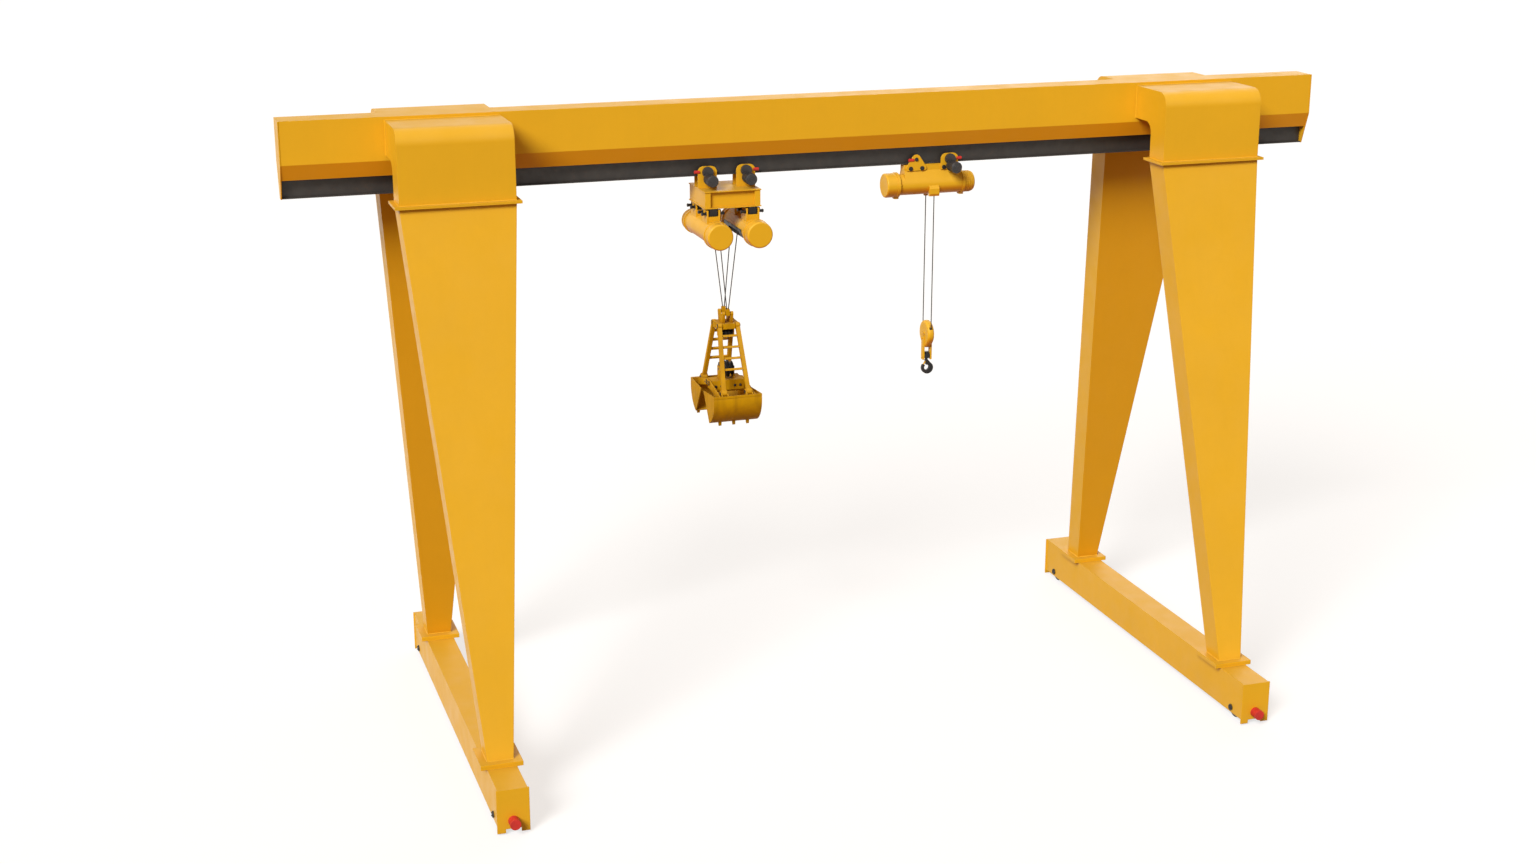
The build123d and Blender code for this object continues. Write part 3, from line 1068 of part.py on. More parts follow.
# Hook block: rounded housing on a sheave, straps down to a crosshead
with BuildPart() as hook_block:
    with BuildSketch(Plane.YZ.offset(HOOK_ROPE_X)):
        with Locations((0, HOOK_SHEAVE_Z)):
            Circle(HOOK_BLOCK_RADIUS)
        with Locations((0, HOOK_SHEAVE_Z - HOOK_BLOCK_TAIL)):
            Circle(HOOK_BLOCK_TAIL_RADIUS)
        make_hull()
    extrude(amount=HOOK_BLOCK_WIDTH / 2, both=True)
    fillet(edges().filter_by(GeomType.CIRCLE), HOOK_BLOCK_ROUND)
    strap_x = (STRAP_GAP + STRAP_THICKNESS) / 2
    with BuildSketch(Plane.XY.offset(STRAP_BOTTOM)):
        with Locations((HOOK_ROPE_X - strap_x, 0), (HOOK_ROPE_X + strap_x, 0)):
            Rectangle(STRAP_THICKNESS, STRAP_WIDTH)
    extrude(amount=STRAP_DROP - STRAP_TOP_DROP)
    slot = HOOK_SHEAVE_SLOT / 2
    pin_along_x(HOOK_ROPE_X - slot, HOOK_ROPE_X + slot, 0, HOOK_SHEAVE_Z, HOOK_SLOT_RADIUS, Mode.SUBTRACT)
    for sy in ENDS.values():
        with Locations((HOOK_ROPE_X, sy * HOOK_ROPE_Y, HOOK_SHEAVE_Z + HOOK_BLOCK_RADIUS / 2)):
            Box(HOOK_SHEAVE_SLOT, 2 * ROPE_OUTLET_RADIUS, HOOK_BLOCK_RADIUS, mode=Mode.SUBTRACT)
    reach = HOOK_BLOCK_WIDTH / 2
    pin_along_x(HOOK_ROPE_X - reach, HOOK_ROPE_X + reach, 0, HOOK_SHEAVE_Z,
                HOOK_SHEAVE_PIN + RUNNING_CLEARANCE, Mode.SUBTRACT)
    pin_along_x(HOOK_ROPE_X - STRAP_OUTER, HOOK_ROPE_X + STRAP_OUTER, 0, CROSSHEAD_HEIGHT,
                SHANK_RADIUS + RUNNING_CLEARANCE, Mode.SUBTRACT)
save(hook_block, "hook_block")

with BuildPart() as hook_sheave:
    half = HOOK_SHEAVE_WIDTH / 2
    groove = HOOK_ROPE_Y - ROPE_RADIUS - ROPE_SEAT_GAP
    groove_half = ROPE_RADIUS + SHEAVE_SIDE_GAP
    pin_reach = HOOK_BLOCK_WIDTH / 2
    with BuildSketch(Plane(origin=(HOOK_ROPE_X, 0, HOOK_SHEAVE_Z), x_dir=(1, 0, 0), z_dir=(0, 0, 1))):
        with BuildLine():
            Polyline(
                (-pin_reach, 0), (-pin_reach, HOOK_SHEAVE_PIN), (-half, HOOK_SHEAVE_PIN),
                (-half, HOOK_SHEAVE_RADIUS),
                (-2 * ROPE_RADIUS, HOOK_SHEAVE_RADIUS), (-groove_half, groove), (groove_half, groove),
                (2 * ROPE_RADIUS, HOOK_SHEAVE_RADIUS), (half, HOOK_SHEAVE_RADIUS), (half, HOOK_SHEAVE_PIN),
                (pin_reach, HOOK_SHEAVE_PIN), (pin_reach, 0), close=True,
            )
        make_face()
    revolve(axis=Axis((HOOK_ROPE_X, 0, HOOK_SHEAVE_Z), (1, 0, 0)))
save(hook_sheave, "hook_sheave")

with BuildPart() as hook_ropes:
    for sy in ENDS.values():
        rope((HOOK_ROPE_X, sy * HOOK_ROPE_Y, HOOK_HOIST_HEIGHT - ROPE_OUTLET_TOP),
             (HOOK_ROPE_X, sy * HOOK_ROPE_Y, HOOK_SHEAVE_Z))
save(hook_ropes, "hook_ropes")

with BuildPart() as hook_crosshead:
    with Locations((HOOK_ROPE_X, 0, CROSSHEAD_HEIGHT)):
        Box(STRAP_GAP, CROSSHEAD_SIZE, CROSSHEAD_SIZE)
    pin_along_x(HOOK_ROPE_X - STRAP_OUTER, HOOK_ROPE_X + STRAP_OUTER, 0, CROSSHEAD_HEIGHT, SHANK_RADIUS)
    with Locations((HOOK_ROPE_X, 0, CROSSHEAD_HEIGHT)):
        Cylinder(SHANK_RADIUS + RUNNING_CLEARANCE, 2 * CROSSHEAD_SIZE, mode=Mode.SUBTRACT)
save(hook_crosshead, "hook_crosshead")

# Hook with its shank nut, throat open to the left
BOWL_Z = HOOK_BOTTOM + HOOK_BASE_THICKNESS + HOOK_BOWL_RADIUS
NECK_Z = STRAP_BOTTOM - HOOK_NECK_DROP
with BuildPart() as hook:
    with BuildSketch(Plane.XZ):
        with Locations((HOOK_ROPE_X + HOOK_BODY_SHIFT, HOOK_BOTTOM + HOOK_BODY_RADIUS)):
            Circle(HOOK_BODY_RADIUS)
        with BuildLine():
            Polyline(
                (HOOK_ROPE_X - SHANK_RADIUS, NECK_Z), (HOOK_ROPE_X + SHANK_RADIUS, NECK_Z),
                (HOOK_ROPE_X + HOOK_SHOULDER, BOWL_Z + HOOK_BOWL_RADIUS),
                (HOOK_ROPE_X + HOOK_BOWL_RADIUS, BOWL_Z),
                (HOOK_ROPE_X - SHANK_RADIUS, BOWL_Z + HOOK_BOWL_RADIUS), close=True,
            )
        make_face()
        with Locations((HOOK_ROPE_X, BOWL_Z)):
            Circle(HOOK_BOWL_RADIUS, mode=Mode.SUBTRACT)
        with BuildLine():
            Polyline(
                (HOOK_ROPE_X, BOWL_Z), (HOOK_ROPE_X - HOOK_BOWL_RADIUS, BOWL_Z + HOOK_TIP_RISE),
                (HOOK_ROPE_X - 2 * HOOK_BODY_RADIUS, BOWL_Z + HOOK_TIP_RISE),
                (HOOK_ROPE_X - 2 * HOOK_BODY_RADIUS, NECK_Z),
                (HOOK_ROPE_X - SHANK_RADIUS, NECK_Z), close=True,
            )
        make_face(mode=Mode.SUBTRACT)
    extrude(amount=HOOK_THICKNESS / 2, both=True)
    nut_bottom = CROSSHEAD_HEIGHT + CROSSHEAD_SIZE / 2
    with BuildSketch(Plane.XY.offset(NECK_Z)):
        with Locations((HOOK_ROPE_X, 0)):
            Circle(SHANK_RADIUS)
    extrude(amount=nut_bottom + SHANK_NUT_HEIGHT - NECK_Z)
    with BuildSketch(Plane.XY.offset(nut_bottom)):
        with Locations((HOOK_ROPE_X, 0)):
            RegularPolygon(SHANK_NUT_RADIUS, 6)
    extrude(amount=SHANK_NUT_HEIGHT)
save(hook, "hook")

with BuildPart() as hook_latch:
    top = Vector(HOOK_ROPE_X - SHANK_RADIUS / 2, 0, NECK_Z - LATCH_DROP)
    tip = Vector(HOOK_ROPE_X - HOOK_BOWL_RADIUS - LATCH_WIDTH, 0, BOWL_Z + HOOK_TIP_RISE / 2)
    along = tip - top
    with BuildSketch(Plane(origin=top, x_dir=along, z_dir=(0, 1, 0))):
        with Locations((along.length / 2, 0)):
            SlotOverall(along.length, LATCH_WIDTH)
    extrude(amount=HOOK_THICKNESS / 4, both=True)
    add(hook.part, mode=Mode.SUBTRACT)
save(hook_latch, "hook_latch")
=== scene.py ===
import json
import math
from collections import namedtuple

import bmesh
import bpy
from mathutils import Matrix, Vector


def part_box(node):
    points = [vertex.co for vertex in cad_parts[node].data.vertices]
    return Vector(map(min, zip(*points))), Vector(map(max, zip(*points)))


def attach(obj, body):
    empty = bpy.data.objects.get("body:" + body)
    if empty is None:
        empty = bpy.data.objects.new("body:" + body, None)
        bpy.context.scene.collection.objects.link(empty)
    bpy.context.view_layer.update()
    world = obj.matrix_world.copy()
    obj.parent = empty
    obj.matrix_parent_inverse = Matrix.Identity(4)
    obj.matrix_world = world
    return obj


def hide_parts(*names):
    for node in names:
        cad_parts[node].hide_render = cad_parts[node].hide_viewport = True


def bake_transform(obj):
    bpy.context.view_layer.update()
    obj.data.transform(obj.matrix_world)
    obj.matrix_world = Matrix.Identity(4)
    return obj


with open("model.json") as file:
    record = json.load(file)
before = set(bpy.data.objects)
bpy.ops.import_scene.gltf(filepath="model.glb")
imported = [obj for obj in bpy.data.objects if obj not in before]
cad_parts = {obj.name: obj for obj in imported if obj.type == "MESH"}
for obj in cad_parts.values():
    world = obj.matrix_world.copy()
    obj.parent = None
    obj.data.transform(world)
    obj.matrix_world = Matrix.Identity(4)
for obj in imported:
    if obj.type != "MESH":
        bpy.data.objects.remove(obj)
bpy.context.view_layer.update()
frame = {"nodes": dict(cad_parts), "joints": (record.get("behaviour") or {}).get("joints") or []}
nodes = frame["nodes"]
scene = bpy.context.scene
scene.view_settings.view_transform = "Standard"

BOTH = (-1, 1)
FULL_TURN = 2 * math.pi
HOME = Matrix.Identity(4)
Point = namedtuple("Point", "x y z")

# How far a washer is sunk in the face it sits on, in metres
SUNK = 0.0005


# Places read from the frame, to a tenth of a millimetre
def lowest(node):
    return Point(*(round(v, 4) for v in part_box(node)[0]))


def highest(node):
    return Point(*(round(v, 4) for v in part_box(node)[1]))


def middle(node):
    return Point(*((a + b) / 2 for a, b in zip(lowest(node), highest(node))))


def pivot(joint):
    """Point that a hinge of the frame turns about."""
    return Point(*next(j["pos_m"] for j in frame["joints"] if j["name"] == joint))


# Portal frame, in metres
GAUGE_HALF = middle("ground_beam_right").x
BEAM_SIDE = 0.220
BEAM_BOTTOM = 0.090
END_PLATE_THICK = 0.020
BEAM_END = highest("ground_beam_right").y - END_PLATE_THICK
SEAT_PLATE_THICK = 0.035
SEAT_WELD_HALF = 0.320
BEAM_TOP = highest("ground_beam_right").z - SEAT_PLATE_THICK
FOOT_PLATE_HALF = 0.325
FOOT_PLATE_TOP = lowest("leg_rear_right").z + SEAT_PLATE_THICK
LEG_FOOT_Y = highest("leg_rear_right").y - FOOT_PLATE_HALF
LEG_FOOT_HALF = (0.194, 0.205)
FLANGE_THICK = 0.020
LEG_JOINT_Z = highest("leg_rear_right").z
LEG_TOP_Y = (lowest("leg_rear_right").y + highest("leg_head_rear_right").y) / 2
LEG_TOP_HALF = (0.840, 0.230)
HEAD_ARM_BOTTOM = 9.255
HEAD_TOP = highest("leg_head_rear_right").z
GIRDER_SIDE = highest("main_girder").y
GIRDER_BOTTOM = lowest("main_girder").z
TRACK_SIDE = highest("track_beam").y
TRACK_WELD_SHORT = 0.004
TRACK_WELD_END = highest("track_beam").x - TRACK_WELD_SHORT

# Trolleys, in metres
GRAB_PLATE_HALF = 0.150
GRAB_PLATES = (lowest("grab_trolley_plates").x + GRAB_PLATE_HALF,
               highest("grab_trolley_plates").x - GRAB_PLATE_HALF)
TRIANGLE_PLATE_HALF = 0.173
ARCH_PLATE_HALF = 0.145
HOOK_PLATES = (lowest("hook_trolley_plates").x + TRIANGLE_PLATE_HALF,
               highest("hook_trolley_plates").x - ARCH_PLATE_HALF)
PLATE_FACE = highest("grab_trolley_plates").y
WHEEL_Z = middle("grab_trolley_wheels").z
ROD_Z = middle("hook_trolley_rods").z
ROD_OFFSET = 0.095
GRAB_HOISTS = ((middle("grab_hoist_left").x, -1), (middle("grab_hoist_right").x, 1))
HOIST_Z = 7.860
BARREL_RADIUS = 0.174
SADDLE_TOP = highest("hook_hoist").z
ROPE_GUIDE_BOTTOM = lowest("hook_hoist").z

# Grab and hook block, in metres
GRAB_X = middle("grab_head").x
ARM_PIN = pivot("arms_rear_swing")
SCOOP_PIN = pivot("scoop_rear_turn")
ARM_FOOT_Y = 0.535
ARM_FOOT_Z = 5.350
BLOCK_FACE = highest("grab_lower_block").y
HOOK_X = middle("hook_block").x
SHEAVE_Z = middle("hook_sheave").z
CROSSHEAD_Z = middle("hook_crosshead").z


# Colour and node helpers
def srgb(r, g, b):
    def linear(c):
        c /= 255.0
        return c / 12.92 if c <= 0.04045 else ((c + 0.055) / 1.055) ** 2.4
    return (linear(r), linear(g), linear(b), 1.0)


def shade(colour, factor):
    return tuple(min(1.0, c * factor) for c in colour[:3]) + (1.0,)


class Graph:
    """A material's node tree with short ways to add nodes."""

    def __init__(self, name):
        self.mat = bpy.data.materials.new(name)
        self.mat.use_nodes = True
        self.tree = self.mat.node_tree
        self.tree.nodes.clear()
        self.out = self.tree.nodes.new("ShaderNodeOutputMaterial")
        self.bsdf = self.tree.nodes.new("ShaderNodeBsdfPrincipled")
        self.link(self.bsdf.outputs[0], self.out.inputs["Surface"])
        self.coord = self.tree.nodes.new("ShaderNodeTexCoord").outputs["Object"]
        self.geo = self.tree.nodes.new("ShaderNodeNewGeometry")

    def link(self, a, b):
        self.tree.links.new(a, b)

    def put(self, value, socket):
        if isinstance(value, bpy.types.NodeSocket):
            self.link(value, socket)
        else:
            socket.default_value = value

    def set(self, **values):
        for key, value in values.items():
            self.put(value, self.bsdf.inputs[key.replace("_", " ")])

    def noise(self, scale, detail=4.0, rough=0.55, stretch=None):
        n = self.tree.nodes.new("ShaderNodeTexNoise")
        n.inputs["Scale"].default_value = scale
        n.inputs["Detail"].default_value = detail
        n.inputs["Roughness"].default_value = rough
        self.link(self.scaled(stretch), n.inputs["Vector"])
        return n.outputs["Fac"]

    def scaled(self, stretch):
        if stretch is None:
            return self.coord
        m = self.tree.nodes.new("ShaderNodeMapping")
        m.inputs["Scale"].default_value = stretch
        self.link(self.coord, m.inputs["Vector"])
        return m.outputs["Vector"]

    def ramp(self, value, low, high, to_low=0.0, to_high=1.0):
        n = self.tree.nodes.new("ShaderNodeMapRange")
        n.clamp = True
        self.put(value, n.inputs["Value"])
        n.inputs["From Min"].default_value = low
        n.inputs["From Max"].default_value = high
        n.inputs["To Min"].default_value = to_low
        n.inputs["To Max"].default_value = to_high
        return n.outputs["Result"]

    def calc(self, operation, a, b=0.0):
        n = self.tree.nodes.new("ShaderNodeMath")
        n.operation = operation
        n.use_clamp = operation in ("ADD", "SUBTRACT")
        self.put(a, n.inputs[0])
        self.put(b, n.inputs[1])
        return n.outputs[0]

    def times(self, a, b):
        return self.calc("MULTIPLY", a, b)

    def mix(self, fac, a, b):
        n = self.tree.nodes.new("ShaderNodeMix")
        n.data_type = "RGBA"
        self.put(fac, n.inputs["Factor"])
        self.put(a, n.inputs["A"])
        self.put(b, n.inputs["B"])
        return n.outputs["Result"]

    def axis(self, vector, name):
        n = self.tree.nodes.new("ShaderNodeSeparateXYZ")
        self.link(vector, n.inputs[0])
        return n.outputs[name]

    def rounded(self, radius):
        """Normal that rounds the edges off."""
        n = self.tree.nodes.new("ShaderNodeBevel")
        n.samples = 4
        n.inputs["Radius"].default_value = radius
        return n.outputs[0]

    def edges(self, normal, low=0.03, high=0.30):
        """1 on an edge that the given normal rounds off, 0 elsewhere."""
        n = self.tree.nodes.new("ShaderNodeVectorMath")
        n.operation = "DOT_PRODUCT"
        self.link(normal, n.inputs[0])
        self.link(self.geo.outputs["True Normal"], n.inputs[1])
        return self.ramp(self.calc("SUBTRACT", 1.0, n.outputs["Value"]), low, high)

    def crevice(self, distance):
        """1 deep in a corner, 0 on an open face."""
        n = self.tree.nodes.new("ShaderNodeAmbientOcclusion")
        n.samples = 4
        n.inputs["Distance"].default_value = distance
        return self.ramp(n.outputs["AO"], 0.85, 0.30)

    def bump(self, height, strength, distance=0.002, normal=None):
        n = self.tree.nodes.new("ShaderNodeBump")
        n.inputs["Strength"].default_value = strength
        n.inputs["Distance"].default_value = distance
        self.link(height, n.inputs["Height"])
        if normal is not None:
            self.link(normal, n.inputs["Normal"])
        self.link(n.outputs["Normal"], self.bsdf.inputs["Normal"])

    def seen(self, path):
        """1 for the rays that show the background: camera, glossy and transmission rays."""
        through = self.calc("MAXIMUM", path.outputs["Is Glossy Ray"], path.outputs["Is Transmission Ray"])
        return self.calc("MAXIMUM", path.outputs["Is Camera Ray"], through)


# Materials
DUST_AND_SHEEN = srgb(232, 205, 140)
CORNER_GRIME_AND_SHADE = srgb(122, 62, 8)
RUN_STAIN = srgb(112, 66, 16)
RUBBED_PRIMER = srgb(150, 124, 84)
RUST = srgb(96, 62, 38)
ROPE_GREASE = srgb(70, 56, 40)
PAINT_REFLECTION = (1.0, 0.86, 0.55, 1.0)


def paint(name, colour, rough=0.40, gloss=0.34, wear=0.0, streaks=0.0, low_dirt=None, radius=0.006,
          peel=0.05, corner=0.26, underside_shade_amount=0.9):
    """Sprayed paint: slow shifts of tone, orange peel, painted shade on level faces and undersides, dust
    with painted sheen, faint streaks, grime with painted shade in the corners, and rubbed edges.

    low_dirt is (clean height, dirty height, strength, colour) of a patchy band of dirt."""
    g = Graph(name)
    normal = g.rounded(radius)
    up = g.axis(g.geo.outputs["Normal"], "Z")

    # Tone, painted shade on level faces, and specks
    tone = g.ramp(g.noise(0.55, detail=5.0), 0.3, 0.7)
    base = g.mix(tone, shade(colour, 0.965), shade(colour, 1.03))
    # Painted shade: faces that look straight up are mixed towards a darker copy of the colour
    level = g.ramp(up, 0.93, 0.995)
    base = g.mix(g.times(level, 0.8), base, shade(colour, 0.82))
    speck = g.ramp(g.noise(6.0, detail=6.0, rough=0.65), 0.35, 0.75)
    base = g.mix(g.times(speck, 0.10), base, shade(colour, 0.8))

    # Dust with painted sheen on faces that look up, painted shade in a deeper orange on those that look
    # down, grime with painted shade in the corners
    dust_and_sheen = g.times(g.ramp(up, 0.05, 0.30), g.ramp(g.noise(1.7, detail=6.0), 0.25, 0.8, 0.03, 0.10))
    base = g.mix(dust_and_sheen, base, DUST_AND_SHEEN)
    # Painted shade: faces that look down are mixed towards a deeper orange copy of the colour
    underside_shade = (colour[0] * 0.88, colour[1] * 0.55, 0.0, 1.0)
    base = g.mix(g.ramp(up, -0.08, -0.42, 0.0, underside_shade_amount), base, underside_shade)
    # Grime and painted shade: corners found by occlusion are darkened towards a deep orange brown
    base = g.mix(g.times(g.crevice(0.12), corner), base, CORNER_GRIME_AND_SHADE)

    if streaks:
        run = g.ramp(g.noise(1.0, detail=7.0, rough=0.62, stretch=(9.0, 9.0, 0.55)), 0.46, 0.72)
        side = g.ramp(g.calc("ABSOLUTE", up), 0.75, 0.3)
        base = g.mix(g.times(g.times(run, side), streaks), base, RUN_STAIN)
    if low_dirt:
        clean, dirty, strength, dirt = low_dirt
        near = g.ramp(g.axis(g.coord, "Z"), clean, dirty)
        patch = g.ramp(g.noise(7.0, detail=7.0, rough=0.62), 0.32, 0.72)
        base = g.mix(g.times(g.times(near, patch), strength), base, dirt)
    rub = g.times(g.edges(normal), g.ramp(g.noise(24.0, detail=5.0, rough=0.6), 0.42, 0.62))
    base = g.mix(g.times(rub, 0.12 + wear), base, RUBBED_PRIMER)

    uneven = g.ramp(g.noise(3.1, detail=5.0), 0.3, 0.75, rough - 0.05, rough + 0.12)
    g.set(Base_Color=base, Specular_IOR_Level=gloss, Specular_Tint=PAINT_REFLECTION)
    g.set(Roughness=g.calc("ADD", g.times(level, 0.10), uneven))
    g.bump(g.noise(140.0, detail=2.0), peel, normal=normal)
    return g.mat


def metal(name, colour, rough, metallic, worn, wear, radius=0.004, grain=60.0, strength=0.12):
    """Bare, oiled or dark painted metal, or rubber, with stains, rubbed edges and a fine grain."""
    g = Graph(name)
    normal = g.rounded(radius)
    tone = g.ramp(g.noise(4.0, detail=6.0), 0.3, 0.7)
    base = g.mix(tone, shade(colour, 0.75), shade(colour, 1.2))
    rust = g.ramp(g.noise(11.0, detail=7.0, rough=0.65), 0.55, 0.78)
    base = g.mix(g.times(rust, 0.25), base, RUST)
    base = g.mix(g.times(g.edges(normal), wear), base, worn)
    g.set(Base_Color=base, Metallic=metallic)
    g.set(Roughness=g.ramp(g.noise(9.0, detail=5.0), 0.3, 0.75, rough - 0.08, rough + 0.14))
    g.bump(g.noise(grain, detail=5.0, rough=0.6), strength, normal=normal)
    return g.mat


def strands(name, colour):
    """Wire rope: strands wound round the rope, drawn over its own unrolled map."""
    g = Graph(name)
    wave = g.tree.nodes.new("ShaderNodeTexWave")
    wave.bands_direction = "DIAGONAL"
    wave.inputs["Scale"].default_value = 1.0
    wave.inputs["Distortion"].default_value = 0.0
    g.link(g.tree.nodes.new("ShaderNodeTexCoord").outputs["UV"], wave.inputs["Vector"])
    lay = wave.outputs["Fac"]
    tone = g.ramp(g.noise(5.0), 0.3, 0.7, 0.8, 1.15)
    base = g.mix(lay, shade(colour, 0.62), shade(colour, 1.12))
    base = g.mix(g.times(tone, 0.12), base, ROPE_GREASE)
    g.set(Base_Color=base, Metallic=0.25, Roughness=0.55)
    g.bump(lay, 0.6, distance=0.003)
    return g.mat


MATERIALS = {
    "yellow_paint": paint("crane_yellow_paint", srgb(227, 172, 33), streaks=0.015, radius=0.008,
                          low_dirt=(0.7, 0.05, 0.12, srgb(186, 142, 72))),
    "worn_yellow_paint": paint("grab_worn_paint", srgb(200, 147, 10), rough=0.6, gloss=0.1, wear=0.45,
                               streaks=0.38, radius=0.005, peel=0.12, corner=0.6, underside_shade_amount=0.3,
                               low_dirt=(5.45, 4.8, 0.5, srgb(104, 70, 26))),
    "track_steel": metal("track_dark_paint", srgb(52, 48, 44), rough=0.5, metallic=0.15,
                         worn=srgb(96, 92, 86), wear=0.5, grain=30.0, strength=0.06),
    "motor_grey": metal("motor_dark_paint", srgb(50, 48, 48), rough=0.46, metallic=0.1,
                        worn=srgb(110, 106, 102), wear=0.35, grain=90.0, strength=0.08),
    "buffer_red": metal("buffer_red_rubber", srgb(196, 44, 36), rough=0.55, metallic=0.0,
                        worn=srgb(226, 96, 84), wear=0.35, radius=0.006, grain=80.0, strength=0.08),
    "wheel_steel": metal("wheel_forged_steel", srgb(84, 80, 76), rough=0.42, metallic=0.8,
                         worn=srgb(150, 146, 140), wear=0.5, radius=0.005, grain=40.0, strength=0.1),
    "dark_steel": metal("dark_oiled_steel", srgb(38, 36, 35), rough=0.42, metallic=0.5,
                        worn=srgb(110, 104, 98), wear=0.4, grain=70.0, strength=0.15),
    "rope_steel": strands("wire_rope_steel", srgb(60, 58, 56)),
}
DARK_NODES = ("grab_hoist_hangers", "hook", "hook_crosshead", "hook_trolley_rods")
WORN_NODES = ("grab_hanger", "grab_head", "grab_arms_front", "grab_arms_rear", "grab_lower_block",
              "scoop_front", "scoop_rear")


def slot_of(node):
    if node == "track_beam":
        return "track_steel"
    for word, slot in (("rope", "rope_steel"), ("drive", "motor_grey"), ("buffers", "buffer_red"),
                       ("wheel", "wheel_steel"), ("sheave", "dark_steel")):
        if word in node:
            return slot
    if node in DARK_NODES:
        return "dark_steel"
    return "worn_yellow_paint" if node in WORN_NODES else "yellow_paint"


for name, obj in nodes.items():
    obj.data.materials.clear()
    obj.data.materials.append(MATERIALS[slot_of(name)])


# Mesh helpers
def piece(name, body, slot, bm, smooth_deg=30):
    """Makes an object of the mesh, which rides on the body unless that is None."""
    mesh = bpy.data.meshes.new(name)
    bmesh.ops.recalc_face_normals(bm, faces=bm.faces)
    bm.to_mesh(mesh)
    bm.free()
    mesh.shade_smooth()
    mesh.set_sharp_from_angle(angle=math.radians(smooth_deg))
    mesh.materials.append(MATERIALS[slot])
    obj = bpy.data.objects.new(name, mesh)
    scene.collection.objects.link(obj)
    if body:
        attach(obj, body)
    return obj


def facing(point, direction):
    """Matrix with its Z along direction, at point."""
    turn = Vector(direction).to_track_quat("Z", "Y").to_matrix().to_4x4()
    return Matrix.Translation(Vector(point)) @ turn


def polar(radius, angle, z=0.0):
    return Vector((radius * math.cos(angle), radius * math.sin(angle), z))


def on_circle(radius, step, count, z=0.0):
    """One of count points evenly spaced on a level circle."""
    return polar(radius, FULL_TURN * step / count, z)


def skin(bm, loops, closed=False):
    """Faces between one loop of vertices and the next."""
    pairs = list(zip(loops, loops[1:]))
    if closed:
        pairs.append((loops[-1], loops[0]))
    for a, b in pairs:
        for i in range(len(a)):
            j = (i + 1) % len(a)
            bm.faces.new((a[i], a[j], b[j], b[i]))


def prism(bm, place, radius, low, high, sides, top_radius=None):
    top_radius = radius if top_radius is None else top_radius
    rings = [[bm.verts.new(place @ on_circle(r, i, sides, z)) for i in range(sides)]
             for z, r in ((low, radius), (high, top_radius))]
    skin(bm, rings)
    bm.faces.new(rings[0][::-1])
    bm.faces.new(rings[1])


def ring(bm, place, radius, thick, count, sides=8):
    """Round bar bent into a ring, half sunk in the face it sits on."""
    loops = []
    for i in range(count):
        out = on_circle(1.0, i, count)
        section = [on_circle(thick, j, sides) for j in range(sides)]
        loops.append([bm.verts.new(place @ (out * (radius + p.x) + Vector((0, 0, p.y)))) for p in section])
    skin(bm, loops, closed=True)


def bar(bm, place, low, high):
    """Box between two corners."""
    corners = [(low[0], low[1]), (high[0], low[1]), (high[0], high[1]), (low[0], high[1])]
    ends = [[bm.verts.new(place @ Vector((x, y, z))) for x, y in corners] for z in (low[2], high[2])]
    skin(bm, ends)
    bm.faces.new(ends[0][::-1])
    bm.faces.new(ends[1])


def bolt(bm, point, direction, size):
    """Hexagon head on a washer; size is the thread."""
    place = facing(point, direction)
    prism(bm, place, size * 1.05, -2 * SUNK, size * 0.16, sides=14)
    prism(bm, place, size * 0.86, size * 0.16, size * 0.78, sides=6)
    prism(bm, place, size * 0.5, size * 0.78, size * 1.0, sides=10, top_radius=size * 0.42)


def screw(bm, point, direction, size):
    """Socket head screw: a chamfered head with a raised rim round its socket; size is the thread."""
    place = facing(point, direction)
    prism(bm, place, size * 0.80, -2 * SUNK, size * 0.78, sides=18)
    prism(bm, place, size * 0.80, size * 0.78, size * 0.86, sides=18, top_radius=size * 0.70)
    top = place @ Matrix.Translation((0, 0, size * 0.86))
    ring(bm, top, size * 0.5, size * 0.09, count=6, sides=5)


def washer(bm, point, direction, radius, thick):
    """Round plate with a chamfered outer edge."""
    place = facing(point, direction)
    prism(bm, place, radius, -SUNK, thick * 0.7, sides=36)
    prism(bm, place, radius, thick * 0.7, thick, sides=36, top_radius=radius - thick * 0.3)


def nut(bm, point, direction, size):
    """Hexagon nut on a washer; size is the thread."""
    place = facing(point, direction)
    prism(bm, place, size * 1.0, -SUNK, size * 0.12, sides=28)
    prism(bm, place, size * 0.88, size * 0.12, size * 0.62, sides=6)
    prism(bm, place, size * 0.74, size * 0.62, size * 0.68, sides=24, top_radius=size * 0.68)


# Weld beads
BEAD_SECTION = ((-0.15, -0.15), (1.0, -0.15), (0.95, 0.2), (0.6, 0.6), (0.2, 0.95), (-0.15, 1.0))


def bead(bm, start, end, out, rise, leg=0.011, step=0.02):
    """Rippled fillet weld from start to end, in the corner between the directions out and rise."""
    start, end, out, rise = Vector(start), Vector(end), Vector(out), Vector(rise)
    count = max(2, round((end - start).length / step))
    sections = []
    for i in range(count + 1):
        p = start.lerp(end, i / count)
        size = leg * (1.0 + 0.10 * math.sin(2.1 * i) + 0.05 * math.sin(0.37 * i))
        sections.append([bm.verts.new(p + out * a * size + rise * b * size) for a, b in BEAD_SECTION])
    skin(bm, sections)
    bm.faces.new(sections[0])
    bm.faces.new(sections[-1][::-1])


def bead_round(bm, x, y, z, half, rise):
    """Weld round a rectangular tube that stands on a level plate, or hangs from it where rise is -1."""
    for s in BOTH:
        side, end = s * half[1], s * half[0]
        bead(bm, (x - half[0], y + side, z), (x + half[0], y + side, z), (0, s, 0), (0, 0, rise))
        bead(bm, (x + end, y - half[1], z), (x + end, y + half[1], z), (s, 0, 0), (0, 0, rise))


